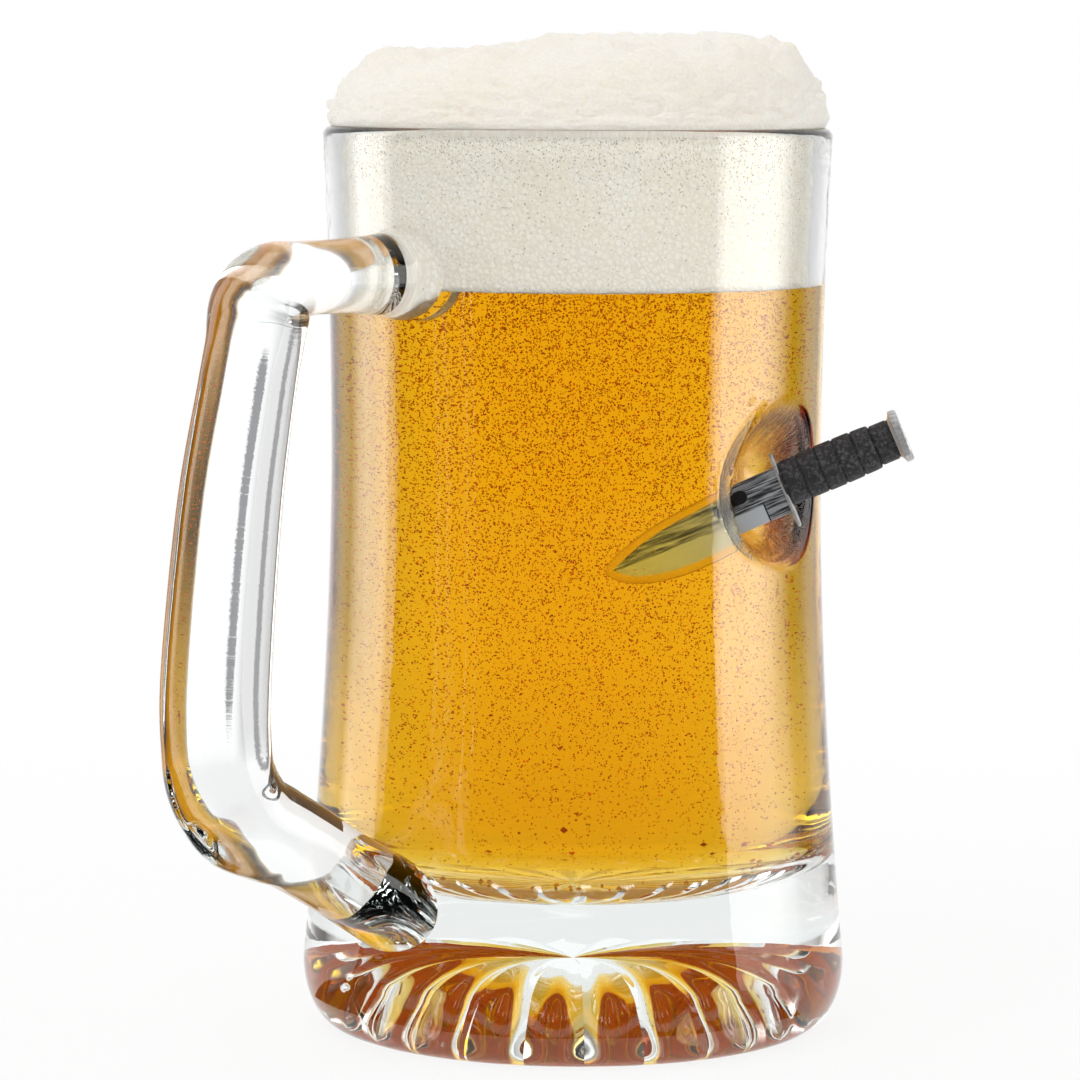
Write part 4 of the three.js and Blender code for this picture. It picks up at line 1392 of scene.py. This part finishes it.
def blade_material(knife):
    """Brushed flat above, smooth ground bevel below, painted shade in the groove and at the notch, and painted
    light on the part in the beer.
    """
    material, nodes, links, shader = fresh_material("Blade steel")
    if nodes is None:
        return material
    vector = knife_vector(nodes)
    parts = nodes.new("ShaderNodeSeparateXYZ")
    links.new(vector, parts.inputs["Vector"])
    along, up = parts.outputs["X"], parts.outputs["Z"]
    scratches = placed_group(nodes, scratch_group(), Length=0.0045, Width=0.00016)
    links.new(vector, scratches.inputs["Vector"])
    flat = ramp_node(nodes, links, up, GRIND_LINE - 0.0002, GRIND_LINE + 0.0002)
    ricasso = ramp_node(nodes, links, along, -0.0046, -0.0042)
    brushed = math_node(nodes, links, "MAXIMUM", flat, ricasso)
    smooth_steel = tuple(min(part * factor, 1.0) for part, factor in zip(knife.steel, (1.22, 1.25, 1.27)))
    # Painted light: the part in the beer is painted paler and made less of a mirror, to make up for the light that
    # the beer dims before it reaches the steel
    deep = ramp_node(nodes, links, along, -0.0108, -0.0122)
    painted_light_colour = mix_colour(nodes, links, deep, knife.steel, (1.0, 1.0, 1.0))
    scratched = mix_colour(nodes, links, scratches.outputs["Mask"], tuple(p * 0.07 for p in knife.steel), painted_light_colour)
    tint = mix_colour(nodes, links, deep, smooth_steel, (1.0, 1.0, 1.0))
    tint = mix_colour(nodes, links, brushed, tint, scratched)
    # Painted shade: a short dark notch mark where the edge grind begins; no notch is cut in the steel
    notch_shade_span = ramp_node(nodes, links, math_node(nodes, links, "ABSOLUTE",
                           math_node(nodes, links, "ADD", along, 0.0044), 0.0), 0.00018, 0.00008)
    painted_notch_shade = math_node(nodes, links, "MULTIPLY", notch_shade_span, ramp_node(nodes, links, up, -0.0014, -0.0018))
    tint = mix_colour(nodes, links, painted_notch_shade, tint, (0.02, 0.02, 0.022))
    # Painted shade in the groove, by its distance from its own middle line; the groove is also made rougher
    radius = knife.fuller_width / 2
    middle = -(knife.fuller_start + knife.fuller_length / 2)
    half_run = knife.fuller_length / 2 - radius
    run = math_node(nodes, links, "ABSOLUTE", math_node(nodes, links, "SUBTRACT", along, middle), 0.0)
    past = math_node(nodes, links, "MAXIMUM", math_node(nodes, links, "SUBTRACT", run, half_run), 0.0)
    aside = math_node(nodes, links, "SUBTRACT", up, knife.fuller_rise)
    square = math_node(nodes, links, "ADD", math_node(nodes, links, "MULTIPLY", past, past),
                       math_node(nodes, links, "MULTIPLY", aside, aside))
    distance = math_node(nodes, links, "SQRT", square, 0.0)
    groove = ramp_node(nodes, links, distance, radius, radius - 0.0001)
    tint = mix_colour(nodes, links, groove, tint, (0.03, 0.03, 0.032))
    links.new(tint, shader.inputs["Base Color"])
    rough = ramp_node(nodes, links, brushed, 0.0, 1.0, 0.34, 0.3)
    links.new(math_node(nodes, links, "MULTIPLY_ADD", groove, 0.3, rough), shader.inputs["Roughness"])
    height = math_node(nodes, links, "MULTIPLY", scratches.outputs["Height"], brushed)
    links.new(bump_node(nodes, links, height, 0.00005, 0.6), shader.inputs["Normal"])
    links.new(ramp_node(nodes, links, deep, 0.0, 1.0, knife.sheen, 0.12), shader.inputs["Metallic"])
    return material


def grip_material(knife):
    material, nodes, links, shader = fresh_material("Pebbled black")
    if nodes is None:
        return material
    vector = knife_vector(nodes)
    pebbles = nodes.new("ShaderNodeTexVoronoi")
    pebbles.inputs["Scale"].default_value = 3200.0
    links.new(vector, pebbles.inputs["Vector"])
    grain = noise_node(nodes, links, vector, 1500.0, 4.0, 0.7)
    height = math_node(nodes, links, "MULTIPLY_ADD", grain, 0.9, pebbles.outputs["Distance"])
    links.new(bump_node(nodes, links, height, 0.00016, 0.8), shader.inputs["Normal"])
    # Painted highlights: paler patches by noise stand in for light catching the pebbles
    painted_highlight_patches = ramp_node(nodes, links, grain, 0.48, 0.72)
    painted_light_colour = tuple(min(part * 4.2, 1.0) for part in knife.black)
    links.new(mix_colour(nodes, links, painted_highlight_patches, knife.black, painted_light_colour), shader.inputs["Base Color"])
    links.new(ramp_node(nodes, links, grain, 0.3, 0.7, 0.42, 0.7), shader.inputs["Roughness"])
    return material


# The stage


def glow_material(name, tint, strength, dull_strength):
    """Light of a panel: one strength in glass and steel, and one for what dull surfaces see through glass."""
    material = bpy.data.materials.new(name)
    material.use_nodes = True
    nodes, links = material.node_tree.nodes, material.node_tree.links
    nodes.clear()
    path = nodes.new("ShaderNodeLightPath")
    dull = math_node(nodes, links, "GREATER_THAN", path.outputs["Diffuse Depth"], 0.5)
    glow = nodes.new("ShaderNodeEmission")
    glow.inputs["Color"].default_value = (*tint, 1.0)
    links.new(ramp_node(nodes, links, dull, 0.0, 1.0, strength, dull_strength), glow.inputs["Strength"])
    edge = nodes.new("ShaderNodeAttribute")
    edge.attribute_name = "solid"
    clear = nodes.new("ShaderNodeBsdfTransparent")
    mix = nodes.new("ShaderNodeMixShader")
    links.new(edge.outputs["Fac"], mix.inputs["Fac"])
    links.new(clear.outputs["BSDF"], mix.inputs[1])
    links.new(glow.outputs["Emission"], mix.inputs[2])
    leave = nodes.new("ShaderNodeOutputMaterial")
    links.new(mix.outputs["Shader"], leave.inputs["Surface"])
    return material


def panel(name, studio, shares, material, low=-0.6, high=1.5, farther=1.0):
    """A curved upright panel round the mug, seen only in its glass and steel, with soft edges.

    Shares pair a turn in degrees from the camera, to the right, with how solid the panel is there.
    """
    turns, solids = zip(*shares)
    distance = studio.panel_distance * farther
    steps = np.linspace(turns[0], turns[-1], 65)
    solid = np.interp(steps, turns, solids)
    bearings = studio.camera_bearing + np.radians(steps)
    vertices = []
    for height in (low, high):
        vertices += [tuple(level(b) * distance + AXIS + np.array([0.0, 0.0, height])) for b in bearings]
    count = len(steps)
    faces = [(k, k + 1, count + k + 1, count + k) for k in range(count - 1)]
    piece = mesh_object(name, vertices, faces)
    piece.data.attributes.new("solid", "FLOAT", "POINT").data.foreach_set("value", np.tile(solid, 2))
    piece.data.materials.append(material)
    hide_panel(piece)


def hide_panel(piece):
    """Leaves a panel to be seen only by the rays of glass and steel."""
    piece.visible_camera = False
    piece.visible_diffuse = False
    piece.visible_shadow = False
    piece.visible_volume_scatter = False


def backdrop_world(studio):
    world = bpy.data.worlds.new("Studio")
    bpy.context.scene.world = world
    world.use_nodes = True
    nodes, links = world.node_tree.nodes, world.node_tree.links
    nodes.clear()
    path = nodes.new("ShaderNodeLightPath")
    seen = math_node(nodes, links, "MAXIMUM", path.outputs["Is Camera Ray"], path.outputs["Is Glossy Ray"])
    seen = math_node(nodes, links, "MAXIMUM", seen, path.outputs["Is Transmission Ray"])
    soft, white = nodes.new("ShaderNodeBackground"), nodes.new("ShaderNodeBackground")
    soft.inputs["Strength"].default_value = studio.world_strength
    for node in (soft, white):
        node.inputs["Color"].default_value = (1.0, 1.0, 1.0, 1.0)
    mix, leave = nodes.new("ShaderNodeMixShader"), nodes.new("ShaderNodeOutputWorld")
    links.new(seen, mix.inputs["Fac"])
    links.new(soft.outputs["Background"], mix.inputs[1])
    links.new(white.outputs["Background"], mix.inputs[2])
    links.new(mix.outputs["Shader"], leave.inputs["Surface"])


def floor_material(amber_light_radius):
    """Pale floor that keeps the mug's soft shadow, has amber light painted under the beer and runs into the white
    backdrop.
    """
    material = bpy.data.materials.new("Pale floor")
    material.use_nodes = True
    nodes, links = material.node_tree.nodes, material.node_tree.links
    shader = nodes["Principled BSDF"]
    shader.inputs["Roughness"].default_value = 0.9
    vector = object_vector(nodes)
    grain = noise_node(nodes, links, vector, 60.0, 3.0)
    tint = mix_colour(nodes, links, grain, (0.93, 0.93, 0.925), (0.95, 0.95, 0.945))
    links.new(tint, shader.inputs["Base Color"])
    glow = nodes.new("ShaderNodeEmission")
    mix = nodes.new("ShaderNodeMixShader")
    path = nodes.new("ShaderNodeLightPath")
    seen = math_node(nodes, links, "MAXIMUM", path.outputs["Is Camera Ray"], path.outputs["Is Transmission Ray"])
    seen = math_node(nodes, links, "MAXIMUM", seen, path.outputs["Is Glossy Ray"])
    links.new(math_node(nodes, links, "MULTIPLY", seen, 0.86), mix.inputs["Fac"])
    links.new(shader.outputs["BSDF"], mix.inputs[1])
    links.new(glow.outputs["Emission"], mix.inputs[2])
    distance = nodes.new("ShaderNodeVectorMath")
    distance.operation = "LENGTH"
    links.new(vector, distance.inputs[0])
    # Painted light: amber under the mug's foot, in place of the light that the beer colours
    painted_beer_light = ramp_node(nodes, links, distance.outputs["Value"], amber_light_radius - MILLIMETRE, amber_light_radius, 1.0, 0.0)
    painted_beer_light_colour = mix_colour(nodes, links, painted_beer_light, (1.0, 1.0, 1.0), (0.42, 0.19, 0.015))
    links.new(painted_beer_light_colour, glow.inputs["Color"])
    edge = ramp_node(nodes, links, distance.outputs["Value"], 0.16, 0.4)
    clear = nodes.new("ShaderNodeBsdfTransparent")
    fade = nodes.new("ShaderNodeMixShader")
    links.new(edge, fade.inputs["Fac"])
    links.new(mix.outputs["Shader"], fade.inputs[1])
    links.new(clear.outputs["BSDF"], fade.inputs[2])
    links.new(fade.outputs["Shader"], nodes["Material Output"].inputs["Surface"])
    return material


# Each panel round the mug: turns in degrees from the camera, to the right, and how solid it is there
BACKLIGHT_SHARES = ((150, 0.0), (165, 1.0), (195, 1.0), (210, 0.0))
SOFTBOX_RIGHT_SHARES = ((64.5, 0.0), (69.5, 1.0), (96, 1.0), (113, 0.0))
SOFTBOX_LEFT_SHARES = ((-128, 0.0), (-119, 1.0), (-99, 1.0), (-94, 0.0))
FLAG_FRONT_SHARES = ((-97, 0.0), (-94, 1.0), (64, 1.0), (69, 0.0))
FLAG_RIGHT_SHARES = ((108, 0.0), (117, 1.0), (125, 1.0), (133, 0.4), (150, 0.25), (165, 0.0))
FLAG_LEFT_SHARES = ((-165, 0.0), (-150, 0.25), (-133, 0.4), (-124, 0.8), (-117, 0.0))


class BEERMUG_OT_stage(bpy.types.Operator):
    """Set the camera, the floor, the lamps, the softboxes and the dark flags"""

    bl_idname = "beermug.stage"
    bl_label = "Stage"

    def execute(self, context):
        scene, studio = context.scene, context.scene.beermug_studio
        self.camera(scene, studio)
        self.floor(scene.beermug_glass)
        backdrop_world(studio)
        self.key_lamp(studio)
        tint = (1.0, 0.985, 0.96)
        right = glow_material("Right softbox", tint, studio.right_strength, 3.0)
        left = glow_material("Left softbox", tint, studio.left_strength, 2.2)
        dark = glow_material("Dark flag", (1.0, 1.0, 1.0), 0.015, 2.4)
        back = glow_material("Backlight", (1.0, 1.0, 1.0), studio.back_strength, studio.back_strength)
        panel("backlight", studio, BACKLIGHT_SHARES, back)
        panel("softbox_right", studio, SOFTBOX_RIGHT_SHARES, right, -0.25, 0.85)
        panel("softbox_left", studio, SOFTBOX_LEFT_SHARES, left, -0.25, 0.85)
        panel("flag_front", studio, FLAG_FRONT_SHARES, dark)
        self.low_flag(studio, glow_material("Low card", (1.0, 1.0, 1.0), 0.05, 1.0))
        panel("flag_right", studio, FLAG_RIGHT_SHARES, dark, farther=1.05)
        panel("flag_left", studio, FLAG_LEFT_SHARES, dark, farther=1.05)
        scene.view_settings.view_transform = "Standard"
        scene.cycles.max_bounces = 32
        scene.cycles.transmission_bounces = 32
        scene.cycles.glossy_bounces = 12
        scene.cycles.transparent_max_bounces = 16
        return {"FINISHED"}

    def camera(self, scene, studio):
        back = Vector(level(studio.camera_bearing))
        right = Vector((0.0, 0.0, 1.0)).cross(back)
        data = bpy.data.cameras.new("Camera")
        data.lens = studio.lens
        data.sensor_width = 36.0
        data.clip_start = 0.01
        camera = bpy.data.objects.new("Camera", data)
        scene.collection.objects.link(camera)
        place = Vector(AXIS) + back * studio.camera_distance - right * studio.camera_aside
        place.z = studio.camera_height
        pitch, roll = studio.camera_pitch, studio.camera_roll
        backward = back * math.cos(pitch) + Vector((0.0, 0.0, math.sin(pitch)))
        upward = backward.cross(right)
        side = right * math.cos(roll) + upward * math.sin(roll)
        top = upward * math.cos(roll) - right * math.sin(roll)
        turn = Matrix((side, top, backward)).transposed().to_4x4()
        camera.matrix_world = Matrix.Translation(place) @ turn
        scene.camera = camera

    def low_flag(self, studio, material):
        """A dark card lying in front of the mug, seen only in its glass and steel."""
        bearings = studio.camera_bearing + np.radians(np.linspace(-95, 68, 33))
        near, far = 0.054, studio.panel_distance
        lift = 0.5 * MILLIMETRE
        vertices = [tuple(level(b) * r + AXIS + np.array([0.0, 0.0, lift])) for r in (near, far) for b in bearings]
        count = len(bearings)
        faces = [(k, k + 1, count + k + 1, count + k) for k in range(count - 1)]
        piece = mesh_object("flag_low", vertices, faces)
        piece.data.attributes.new("solid", "FLOAT", "POINT").data.foreach_set("value", np.ones(2 * count))
        piece.data.materials.append(material)
        hide_panel(piece)

    def floor(self, glass):
        turn = np.linspace(0, 2 * math.pi, 96, endpoint=False)
        radius = 0.5
        ring = [(radius * math.cos(a), radius * math.sin(a), 0.0) for a in turn]
        floor = mesh_object("floor", ring, [tuple(range(len(ring)))])
        floor.data.materials.append(floor_material(BASE_RADIUS - glass.heel_width))
        floor.location = Vector(AXIS) - Vector((0.0, 0.0, 0.02 * MILLIMETRE))

    def key_lamp(self, studio):
        data = bpy.data.lights.new("Key", "AREA")
        data.shape = "DISK"
        data.size = 0.7
        data.energy = studio.key_strength
        lamp = bpy.data.objects.new("Key", data)
        bpy.context.scene.collection.objects.link(lamp)
        towards = level(studio.camera_bearing - math.radians(40)) * 0.7
        lamp.location = Vector(towards + AXIS) + Vector((0.0, 0.0, 0.95))
        aim = Vector(AXIS) + Vector((0.0, 0.0, RIM_HEIGHT * 0.6)) - lamp.location
        lamp.rotation_mode = "QUATERNION"
        lamp.rotation_quaternion = aim.to_track_quat("-Z", "Y")
        lamp.visible_glossy = False
        lamp.visible_transmission = False


OPERATORS = (
    BEERMUG_OT_stage,
    BEERMUG_OT_glass,
    BEERMUG_OT_handle,
    BEERMUG_OT_beer,
    BEERMUG_OT_bubbles,
    BEERMUG_OT_froth,
    BEERMUG_OT_drops,
    BEERMUG_OT_blade,
    BEERMUG_OT_fittings,
    BEERMUG_OT_grip,
)

SETTINGS = {
    "beermug_glass": GlassSettings,
    "beermug_handle": HandleSettings,
    "beermug_drink": DrinkSettings,
    "beermug_knife": KnifeSettings,
    "beermug_studio": StudioSettings,
}


class BEERMUG_PT_panel(bpy.types.Panel):
    """Lists the settings and the pieces of the mug"""

    bl_label = "Beer Mug"
    bl_idname = "BEERMUG_PT_panel"
    bl_space_type = "VIEW_3D"
    bl_region_type = "UI"
    bl_category = "Beer Mug"

    def draw(self, context):
        for operator in OPERATORS:
            self.layout.operator(operator.bl_idname)
        for name, group in SETTINGS.items():
            box = self.layout.box()
            box.label(text=group.__doc__)
            for label in group.__annotations__:
                box.prop(getattr(context.scene, name), label)


def register():
    for group in SETTINGS.values():
        bpy.utils.register_class(group)
    for name, group in SETTINGS.items():
        setattr(bpy.types.Scene, name, bpy.props.PointerProperty(type=group))
    for operator in OPERATORS:
        bpy.utils.register_class(operator)
    bpy.utils.register_class(BEERMUG_PT_panel)


def unregister():
    bpy.utils.unregister_class(BEERMUG_PT_panel)
    for operator in reversed(OPERATORS):
        bpy.utils.unregister_class(operator)
    for name, group in SETTINGS.items():
        delattr(bpy.types.Scene, name)
        bpy.utils.unregister_class(group)


def main():
    register()
    for operator in OPERATORS:
        group, name = operator.bl_idname.split(".")
        getattr(getattr(bpy.ops, group), name)()


if __name__ == "__main__":
    main()
